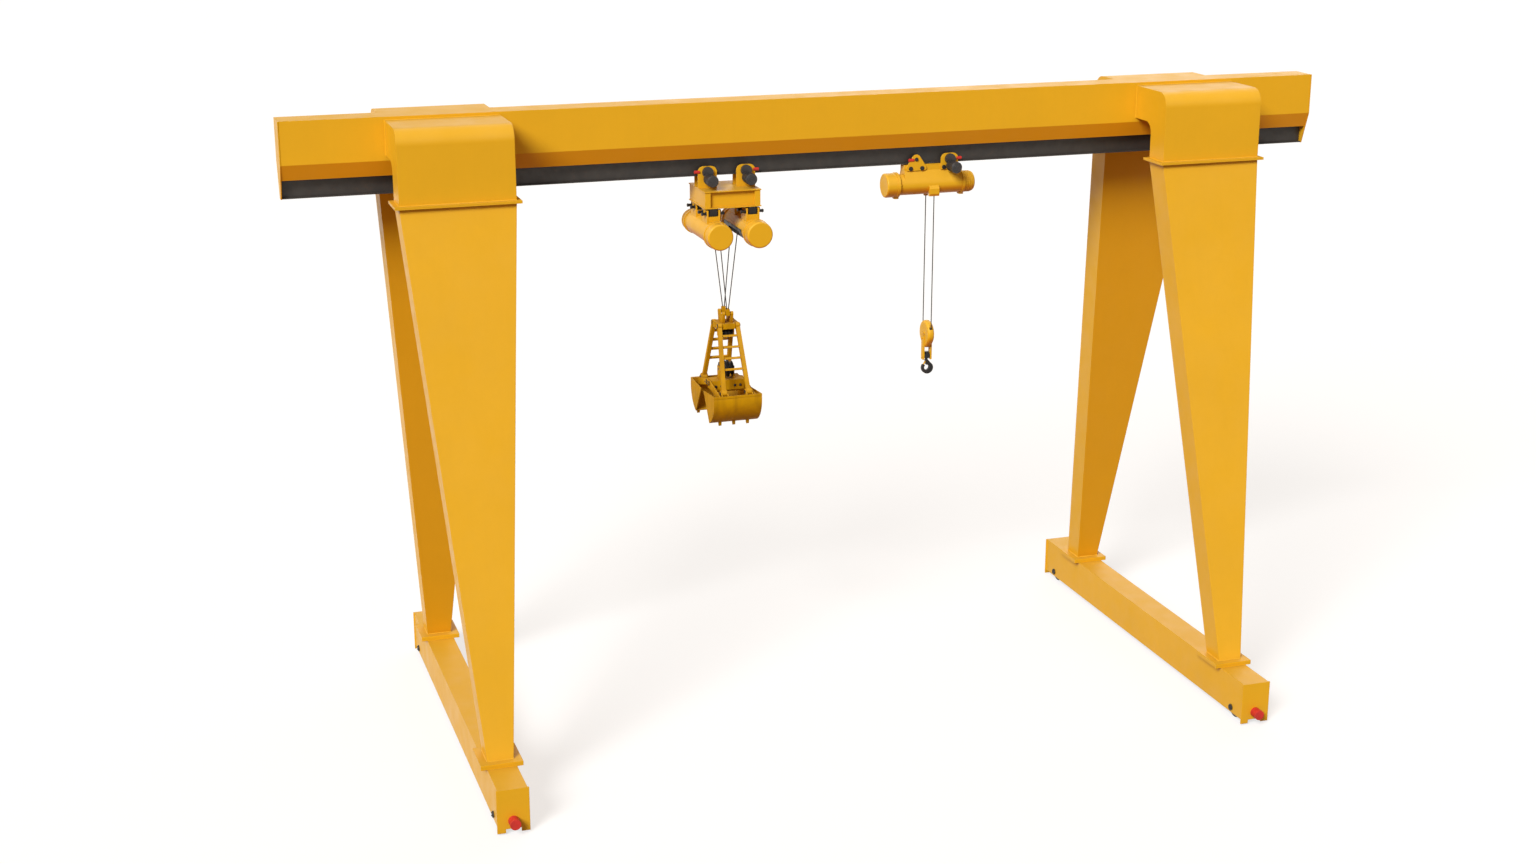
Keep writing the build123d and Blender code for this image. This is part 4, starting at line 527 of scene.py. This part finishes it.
def leg_welds(bm, x, sy):
    """Welds of one leg, its head and its end of the ground beam, from the foot up."""
    foot, top = sy * LEG_FOOT_Y, sy * LEG_TOP_Y
    bead_round(bm, x, foot, FOOT_PLATE_TOP, LEG_FOOT_HALF, 1)
    bead_round(bm, x, top, LEG_JOINT_Z - FLANGE_THICK, LEG_TOP_HALF, -1)
    bead_round(bm, x, top, LEG_JOINT_Z + FLANGE_THICK, LEG_TOP_HALF, 1)
    girder, arm_half = sy * GIRDER_SIDE, LEG_TOP_HALF[0]
    for s in BOTH:
        edge = x + s * arm_half
        bead(bm, (edge, girder, HEAD_ARM_BOTTOM), (edge, girder, HEAD_TOP), (s, 0, 0), (0, sy, 0))
    bead(bm, (x - arm_half, girder, HEAD_TOP), (x + arm_half, girder, HEAD_TOP), (0, 0, 1), (0, sy, 0))
    for s in BOTH:
        edge = x + s * BEAM_SIDE
        bead(bm, (edge, foot - SEAT_WELD_HALF, BEAM_TOP), (edge, foot + SEAT_WELD_HALF, BEAM_TOP),
             (s, 0, 0), (0, 0, -1))
        bead(bm, (edge, sy * BEAM_END, BEAM_BOTTOM), (edge, sy * BEAM_END, BEAM_TOP), (s, 0, 0), (0, -sy, 0))


bm = bmesh.new()
for sx in BOTH:
    for sy in BOTH:
        leg_welds(bm, sx * GAUGE_HALF, sy)
for sy in BOTH:
    side = sy * TRACK_SIDE
    bead(bm, (-TRACK_WELD_END, side, GIRDER_BOTTOM), (TRACK_WELD_END, side, GIRDER_BOTTOM),
         (0, sy, 0), (0, 0, -1), leg=0.009, step=0.05)
piece("frame_welds", "frame", "yellow_paint", bm, smooth_deg=50)

# Travel motors: fins, clamp band, fan cowl and gear case screws
FRONT = (0, -1, 0)
MOTOR_Z = WHEEL_Z - 0.112
MOTOR_BACK, MOTOR_BELL = -0.172, -0.332
MOTOR_END = lowest("grab_travel_drives").y
BELL_RADIUS = 0.0895
FIN_COUNT = 28
FIN_FOOT, FIN_TIP, FIN_HALF = 0.0785, 0.0880, 0.0018
COWL_RINGS, COWL_WIRE = (0.022, 0.036, 0.050, 0.064), 0.0028
COWL_RIBS = 6
RIB_START, RIB_END, RIB_HALF, RIB_HIGH = 0.012, 0.072, 0.003, 0.0035
HUB_RADIUS, HUB_TOP_RADIUS, HUB_HIGH = 0.013, 0.010, 0.005
BAND_Y, BAND_RADIUS, BAND_WIRE = MOTOR_BELL - 0.010, 0.0898, 0.0025
COWL_SCREWS, COWL_SCREW_Y, COWL_SCREW_SIZE = 4, MOTOR_BELL - 0.026, 0.006
GEAR_FACE, GEAR_Z = -0.157, WHEEL_Z - 0.015
GEAR_SCREWS, GEAR_SCREW_CIRCLE, GEAR_SCREW_SIZE = 5, 0.071, 0.010
GEAR_SCREW_START, GEAR_SCREW_SWEEP = math.radians(190), math.radians(160)


def motor_trim(bm, x):
    fins = facing((x, MOTOR_BACK, MOTOR_Z), FRONT)
    for i in range(FIN_COUNT):
        turn = fins @ Matrix.Rotation(FULL_TURN * (i + 0.5) / FIN_COUNT, 4, "Z")
        bar(bm, turn, (FIN_FOOT, -FIN_HALF, 0.0), (FIN_TIP, FIN_HALF, MOTOR_BACK - MOTOR_BELL))
    cowl = facing((x, MOTOR_END, MOTOR_Z), FRONT)
    for radius in COWL_RINGS:
        ring(bm, cowl, radius, COWL_WIRE, count=40)
    for i in range(COWL_RIBS):
        turn = cowl @ Matrix.Rotation(FULL_TURN * i / COWL_RIBS, 4, "Z")
        bar(bm, turn, (RIB_START, -RIB_HALF, -2 * SUNK), (RIB_END, RIB_HALF, RIB_HIGH))
    prism(bm, cowl, HUB_RADIUS, -2 * SUNK, HUB_HIGH, sides=20, top_radius=HUB_TOP_RADIUS)
    ring(bm, facing((x, BAND_Y, MOTOR_Z), FRONT), BAND_RADIUS, BAND_WIRE, count=56)
    centre = Vector((x, COWL_SCREW_Y, MOTOR_Z))
    for i in range(COWL_SCREWS):
        out = facing((0, 0, 0), FRONT) @ on_circle(BELL_RADIUS, i + 0.5, COWL_SCREWS)
        screw(bm, centre + out, out, COWL_SCREW_SIZE)
    gear = facing((x, GEAR_FACE, GEAR_Z), FRONT)
    for i in range(GEAR_SCREWS):
        angle = GEAR_SCREW_START + GEAR_SCREW_SWEEP * i / (GEAR_SCREWS - 1)
        screw(bm, gear @ polar(GEAR_SCREW_CIRCLE, angle), FRONT, GEAR_SCREW_SIZE)


for trolley, centres in (("grab", GRAB_PLATES), ("hook", HOOK_PLATES[1:])):
    bm = bmesh.new()
    for x in centres:
        motor_trim(bm, x)
    piece(trolley + "_motor_trim", trolley + "_trolley", "motor_grey", bm)

# Rope slots in the grab hoists: lining, wound rope, and dark strips of painted shade round the slots
SLOT_FLOOR, SLOT_MOUTH = 0.120, 0.1745
SLOT_TOP, SLOT_LOW = HOIST_Z - 0.030, HOIST_Z - 0.120
SLOT_END, SLOT_END_FACE = 0.2598, 0.2580
WALL_HALF = 0.259
LINING = 0.002
END_LINING_RISE = 0.030
WOUND_TURNS, WOUND_PITCH, WOUND_RADIUS = 27, 0.019, 0.0085
WOUND_START = -0.247
SHADE_STRIP_THICK = 0.0045
SHADE_STRIP_FRONT, SHADE_STRIP_REAR = -0.400, 0.500
SHADE_STRIP_LOW, SHADE_STRIP_EDGE, SHADE_STRIP_HIGH = -6, 10, 43
SHADE_STRIP_STEPS = 8

# Pins, plates and collars of the hoist lugs
LUG_PIN_Z = 8.155
LUG_PIN_Y = (-0.39, -0.21, 0.21, 0.39)
LUG_FACE, LUG_PIN_END = 0.105, 0.162
LUG_WASHER, LUG_PIN_HEAD = (0.037, 0.006), (0.029, 0.008)
LUG_Y = 0.300
LUG_PLATE_HALF = (0.081, 0.134)
LUG_PLATE_LOW, LUG_PLATE_HIGH = 8.005, 8.112

lining, wound, collars = bmesh.new(), bmesh.new(), bmesh.new()
for x, sx in GRAB_HOISTS:
    inner, outer = x - sx * SLOT_FLOOR, x - sx * SLOT_MOUTH
    near, far = sorted((inner, outer))
    wall = sorted((inner, inner - sx * LINING))
    bar(lining, HOME, (wall[0], -WALL_HALF, SLOT_LOW), (wall[1], WALL_HALF, SLOT_TOP))
    for s in BOTH:
        ends = sorted((s * SLOT_END, s * SLOT_END_FACE))
        bar(lining, HOME, (near, ends[0], SLOT_LOW + END_LINING_RISE), (far, ends[1], SLOT_TOP))
    for i in range(WOUND_TURNS):
        foot = (inner - sx * LINING, WOUND_START + WOUND_PITCH * i, SLOT_LOW + LINING)
        prism(wound, facing(foot, (0, 0, 1)), WOUND_RADIUS, 0.0, SLOT_TOP - SLOT_LOW - 2 * LINING, sides=10)
    for y in LUG_PIN_Y:
        for s in BOTH:
            washer(collars, (x + s * LUG_FACE, y, LUG_PIN_Z), (s, 0, 0), *LUG_WASHER)
            washer(collars, (x + s * LUG_PIN_END, y, LUG_PIN_Z), (s, 0, 0), *LUG_PIN_HEAD)
piece("rope_slot_lining", "grab_trolley", "dark_steel", lining, smooth_deg=35)
piece("wound_rope", "grab_trolley", "dark_steel", wound, smooth_deg=50)


def shade_strip(bm, x, sx, start, end, low_angle, high_angle):
    """Thin curved dark strip of painted shade on the inner side of a hoist barrel, along the barrel from
    start to end.
    """
    under, over = BARREL_RADIUS, BARREL_RADIUS + SHADE_STRIP_THICK
    rows = []
    for i in range(SHADE_STRIP_STEPS + 1):
        a = math.radians(low_angle + (high_angle - low_angle) * i / SHADE_STRIP_STEPS)
        rows.append([bm.verts.new((x - sx * r * math.cos(a), y, HOIST_Z - r * math.sin(a)))
                     for r, y in ((under, start), (over, start), (over, end), (under, end))])
    skin(bm, rows)
    bm.faces.new(rows[0][::-1])
    bm.faces.new(rows[-1])


# Dark strips of painted shade on each barrel, along and beyond the rope slot
bm = bmesh.new()
for x, sx in GRAB_HOISTS:
    shade_strip(bm, x, sx, SHADE_STRIP_FRONT, SHADE_STRIP_REAR, SHADE_STRIP_LOW, SHADE_STRIP_EDGE)
    shade_strip(bm, x, sx, SLOT_END_FACE, SHADE_STRIP_REAR, SHADE_STRIP_EDGE, SHADE_STRIP_HIGH)
    shade_strip(bm, x, sx, SHADE_STRIP_FRONT, -SLOT_END_FACE, SHADE_STRIP_EDGE, SHADE_STRIP_HIGH)
piece("rope_slot_guards", "grab_trolley", "dark_steel", bm)
piece("lug_pin_collars", "grab_trolley", "dark_steel", collars)

# Plates between the hoist lugs, and the wear plate on the hook hoist's saddle
WEAR_PLATE_START, WEAR_PLATE_END, WEAR_PLATE_HALF = 1.245, 2.085, 0.080
WEAR_PLATE_LOW, WEAR_PLATE_HIGH = SADDLE_TOP - 2 * SUNK, SADDLE_TOP + 0.019
bm = bmesh.new()
for x, sx in GRAB_HOISTS:
    for sy in BOTH:
        half_x, half_y = LUG_PLATE_HALF
        bar(bm, Matrix.Translation((x, sy * LUG_Y, 0)), (-half_x, -half_y, LUG_PLATE_LOW),
            (half_x, half_y, LUG_PLATE_HIGH))
piece("lug_base_plates", "grab_trolley", "yellow_paint", bm, smooth_deg=35)
bm = bmesh.new()
bar(bm, HOME, (WEAR_PLATE_START, -WEAR_PLATE_HALF, WEAR_PLATE_LOW),
    (WEAR_PLATE_END, WEAR_PLATE_HALF, WEAR_PLATE_HIGH))
piece("saddle_wear_plate", "hook_trolley", "yellow_paint", bm, smooth_deg=35)

# Trolley nuts
WHEEL_THREAD = 0.030
ROD_NUT_RADIUS, ROD_NUT_HIGH = 0.037, 0.012
bm = bmesh.new()
for x in GRAB_PLATES:
    nut(bm, (x, PLATE_FACE, WHEEL_Z), (0, 1, 0), WHEEL_THREAD)
piece("grab_wheel_nuts", "grab_trolley", "dark_steel", bm)
bm = bmesh.new()
for x, sy in ((HOOK_PLATES[0], -1), (HOOK_PLATES[0], 1), (HOOK_PLATES[1], 1)):
    nut(bm, (x, sy * PLATE_FACE, WHEEL_Z), (0, sy, 0), WHEEL_THREAD)
for plate in HOOK_PLATES:
    for x in (plate - ROD_OFFSET, plate + ROD_OFFSET):
        for sy in BOTH:
            place = facing((x, sy * PLATE_FACE, ROD_Z), (0, sy, 0))
            prism(bm, place, ROD_NUT_RADIUS, -SUNK, ROD_NUT_HIGH, sides=6)
piece("hook_trolley_nuts", "hook_trolley", "dark_steel", bm)

# Pins of the grab, each washer as its radius and thickness
ARM_PIN_END, ARM_PIN_WASHER = 0.1795, (0.032, 0.006)
SCOOP_PIN_FACE, SCOOP_PIN_END = 0.300, 0.320
SCOOP_PIN_WASHER, SCOOP_PIN_BOLT = (0.034, 0.008), 0.012
BLOCK_BOLTS_X, BLOCK_BOLTS_Z, BLOCK_BOLT = (-0.20, -0.11, 0.11, 0.20), 5.352, 0.020
ARM_FEET_X, FOOT_PIN_END, FOOT_PIN_HEAD = (-0.200, 0.200), 0.0553, (0.030, 0.007)
bm = bmesh.new()
for s in BOTH:
    for sy in BOTH:
        washer(bm, (GRAB_X + s * ARM_PIN_END, sy * ARM_PIN.y, ARM_PIN.z), (s, 0, 0), *ARM_PIN_WASHER)
piece("arm_pin_washers", "grab_head", "dark_steel", bm)
bm = bmesh.new()
for s in BOTH:
    for sy in BOTH:
        y, z = sy * SCOOP_PIN.y, SCOOP_PIN.z
        washer(bm, (GRAB_X + s * SCOOP_PIN_FACE, y, z), (s, 0, 0), *SCOOP_PIN_WASHER)
        bolt(bm, (GRAB_X + s * SCOOP_PIN_END, y, z), (s, 0, 0), SCOOP_PIN_BOLT)
for sy in BOTH:
    for dx in BLOCK_BOLTS_X:
        bolt(bm, (GRAB_X + dx, sy * BLOCK_FACE, BLOCK_BOLTS_Z), (0, sy, 0), BLOCK_BOLT)
piece("scoop_pin_washers", "grab_block", "dark_steel", bm)
for side, sy in (("front", -1), ("rear", 1)):
    bm = bmesh.new()
    for foot in ARM_FEET_X:
        for s in BOTH:
            head = (GRAB_X + foot + s * FOOT_PIN_END, sy * ARM_FOOT_Y, ARM_FOOT_Z)
            washer(bm, head, (s, 0, 0), *FOOT_PIN_HEAD)
    piece("arm_foot_pin_heads_" + side, "scoop_" + side, "dark_steel", bm)

# Pins of the hook block
HOUSING_FACE, STRAP_FACE = 0.055, 0.075
SHEAVE_WASHER, SHEAVE_BOLT = (0.036, 0.006), 0.014
STRAP_BOLT_Z, STRAP_BOLT = 5.835, 0.016
CROSSHEAD_WASHER = (0.034, 0.005)
bm = bmesh.new()
for s in BOTH:
    out = (s, 0, 0)
    washer(bm, (HOOK_X + s * HOUSING_FACE, 0, SHEAVE_Z), out, *SHEAVE_WASHER)
    bolt(bm, (HOOK_X + s * (HOUSING_FACE + SHEAVE_WASHER[1]), 0, SHEAVE_Z), out, SHEAVE_BOLT)
    bolt(bm, (HOOK_X + s * STRAP_FACE, 0, STRAP_BOLT_Z), out, STRAP_BOLT)
    washer(bm, (HOOK_X + s * STRAP_FACE, 0, CROSSHEAD_Z), out, *CROSSHEAD_WASHER)
piece("hook_block_pins", "hook_block", "yellow_paint", bm)

# Axle ends of the travel wheels
AXLE_HALF = 0.238
AXLE_PLATE_RADIUS, AXLE_PLATE_THICK = 0.044, 0.007
AXLE_BOLTS, AXLE_BOLT_CIRCLE, AXLE_BOLT = 3, 0.026, 0.010
for end in ("front", "rear"):
    for side in ("left", "right"):
        wheel = "wheel_%s_%s" % (end, side)
        axle = pivot(wheel + "_spin")
        bm = bmesh.new()
        for s in BOTH:
            face = axle.x + s * AXLE_HALF
            washer(bm, (face, axle.y, axle.z), (s, 0, 0), AXLE_PLATE_RADIUS, AXLE_PLATE_THICK)
            plate = facing((face + s * AXLE_PLATE_THICK, axle.y, axle.z), (s, 0, 0))
            for i in range(AXLE_BOLTS):
                bolt(bm, plate @ on_circle(AXLE_BOLT_CIRCLE, i, AXLE_BOLTS), (s, 0, 0), AXLE_BOLT)
        piece("axle_end_%s_%s" % (end, side), wheel, "dark_steel", bm)

# Ropes, drawn in place of the CAD rope nodes
ROPE_RADIUS = 0.008
ROPE_SIDES = 14
ROPE_STRANDS = 6.0
LAY_PER_METRE = 30.0
SAME_POINT, SAME_LEVEL = 1e-5, 1e-3


def islands(bm):
    """Points of each connected part of a mesh."""
    left, found = set(bm.verts), []
    while left:
        stack, island = [left.pop()], []
        while stack:
            v = stack.pop()
            island.append(v.co.copy())
            for other in (e.other_vert(v) for e in v.link_edges):
                if other in left:
                    left.remove(other)
                    stack.append(other)
        found.append(island)
    return found


def rope_ends(node):
    """Top and bottom centres of each rope in a CAD node."""
    bm = bmesh.new()
    bm.from_mesh(nodes[node].data)
    bmesh.ops.remove_doubles(bm, verts=bm.verts, dist=SAME_POINT)
    found = []
    for island in islands(bm):
        ends = []
        for z in (max(p.z for p in island), min(p.z for p in island)):
            rim = [p for p in island if abs(p.z - z) < SAME_LEVEL]
            low = Vector([min(p[i] for p in rim) for i in range(3)])
            high = Vector([max(p[i] for p in rim) for i in range(3)])
            ends.append((low + high) / 2)
        found.append(ends)
    bm.free()
    return found


def ropes(name, node):
    """Ropes from the body above to the body below, in place of the CAD node."""
    bm = bmesh.new()
    uv = bm.loops.layers.uv.new("lay")
    ends = rope_ends(node)
    for top, low in ends:
        length = (top - low).length
        rings = [[bm.verts.new(p + on_circle(ROPE_RADIUS, i, ROPE_SIDES)) for i in range(ROPE_SIDES)]
                 for p in (top, low)]
        for i in range(ROPE_SIDES):
            j = (i + 1) % ROPE_SIDES
            face = bm.faces.new((rings[0][i], rings[1][i], rings[1][j], rings[0][j]))
            for loop, a, d in zip(face.loops, (i, i, i + 1, i + 1), (0.0, length, length, 0.0)):
                loop[uv].uv = (ROPE_STRANDS * a / ROPE_SIDES, d * LAY_PER_METRE)
        bm.faces.new(rings[0])
        bm.faces.new(rings[1][::-1])
    obj = piece(name, None, "rope_steel", bm, smooth_deg=60)
    top, low = ends[0]
    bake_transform(obj)
    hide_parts(node)


ropes("grab_wire_ropes", "grab_ropes")
ropes("hook_wire_ropes", "hook_ropes")

# Collar below the rope guide, round the rear rope
COLLAR_RISES, COLLAR_RADIUS, COLLAR_BAR = (0.032, 0.016, 0.0), 0.026, 0.012
rear_top = max((ends[0] for ends in rope_ends("hook_ropes")), key=lambda p: p.y)
bm = bmesh.new()
for rise in COLLAR_RISES:
    place = Matrix.Translation((rear_top.x, rear_top.y, ROPE_GUIDE_BOTTOM + rise))
    ring(bm, place, COLLAR_RADIUS, COLLAR_BAR, count=28, sides=12)
piece("rope_guide_collar", "hook_trolley", "yellow_paint", bm, smooth_deg=50)

# Floor: white to the camera, with the object's shadow, and a warm brown for the light it throws back
FLOOR_RADIUS = 260.0
FLOOR_PALE = (0.36, 0.36, 0.36, 1.0)
FLOOR_GLOW = 0.67
FLOOR_BOUNCE = (0.24, 0.165, 0.075, 1.0)


def floor_material():
    g = Graph("pale_floor")
    pale = g.tree.nodes.new("ShaderNodeBsdfDiffuse")
    pale.inputs["Color"].default_value = FLOOR_PALE
    glow = g.tree.nodes.new("ShaderNodeEmission")
    glow.inputs["Strength"].default_value = FLOOR_GLOW
    lit = g.tree.nodes.new("ShaderNodeAddShader")
    g.link(pale.outputs[0], lit.inputs[0])
    g.link(glow.outputs[0], lit.inputs[1])
    plain = g.tree.nodes.new("ShaderNodeBsdfDiffuse")
    plain.inputs["Color"].default_value = FLOOR_BOUNCE
    both = g.tree.nodes.new("ShaderNodeMixShader")
    g.link(g.seen(g.tree.nodes.new("ShaderNodeLightPath")), both.inputs[0])
    g.link(plain.outputs[0], both.inputs[1])
    g.link(lit.outputs[0], both.inputs[2])
    g.link(both.outputs[0], g.out.inputs["Surface"])
    g.tree.nodes.remove(g.bsdf)
    return g.mat


bm = bmesh.new()
bmesh.ops.create_circle(bm, cap_ends=True, segments=96, radius=FLOOR_RADIUS)
mesh = bpy.data.meshes.new("floor")
bm.to_mesh(mesh)
bm.free()
mesh.materials.append(floor_material())
floor = bpy.data.objects.new("floor", mesh)
scene.collection.objects.link(floor)

# Light: a soft warm sky, white where it is seen, a key sun from the left and a weak sun from behind
SKY_COLOUR = (1.0, 0.72, 0.46, 1.0)
SKY_STRENGTH = 0.33
SUNS = (("key", 3.6, 24, (0.585, 0.575, -0.57)), ("rim", 1.1, 60, (-0.64, -0.70, -0.32)))


class WorldGraph(Graph):
    """A world's node tree, with Graph's ways to add nodes."""

    def __init__(self, world):
        world.use_nodes = True
        self.tree = world.node_tree
        self.tree.nodes.clear()
        self.out = self.tree.nodes.new("ShaderNodeOutputWorld")

    def background(self, colour, strength):
        n = self.tree.nodes.new("ShaderNodeBackground")
        n.inputs["Color"].default_value = colour
        n.inputs["Strength"].default_value = strength
        return n.outputs[0]


scene.world = bpy.data.worlds.new("studio")
g = WorldGraph(scene.world)
sky = g.tree.nodes.new("ShaderNodeMixShader")
g.link(g.seen(g.tree.nodes.new("ShaderNodeLightPath")), sky.inputs[0])
g.link(g.background(SKY_COLOUR, SKY_STRENGTH), sky.inputs[1])
g.link(g.background((1.0, 1.0, 1.0, 1.0), 1.0), sky.inputs[2])
g.link(sky.outputs[0], g.out.inputs["Surface"])

for name, energy, spread_deg, direction in SUNS:
    sun = bpy.data.lights.new(name, "SUN")
    sun.energy = energy
    sun.angle = math.radians(spread_deg)
    lamp = bpy.data.objects.new(name, sun)
    lamp.rotation_mode = "QUATERNION"
    lamp.rotation_quaternion = Vector(direction).to_track_quat("-Z", "Y")
    scene.collection.objects.link(lamp)

# Camera fitted to the photograph; angles in radians
CAMERA_PLACE = (-11.1726, -30.9446, 14.3004)
YAW, PITCH = -0.3181, 0.2924
lens = bpy.data.cameras.new("photo_camera")
lens.lens = 50.0
lens.sensor_width = 36.0
lens.clip_start = 0.5
lens.clip_end = 600.0
camera = bpy.data.objects.new("photo_camera", lens)
camera.location = CAMERA_PLACE
camera.rotation_mode = "QUATERNION"
look = Vector((-math.sin(YAW) * math.cos(PITCH), math.cos(YAW) * math.cos(PITCH), -math.sin(PITCH)))
camera.rotation_quaternion = look.to_track_quat("-Z", "Y")
scene.collection.objects.link(camera)
scene.camera = camera
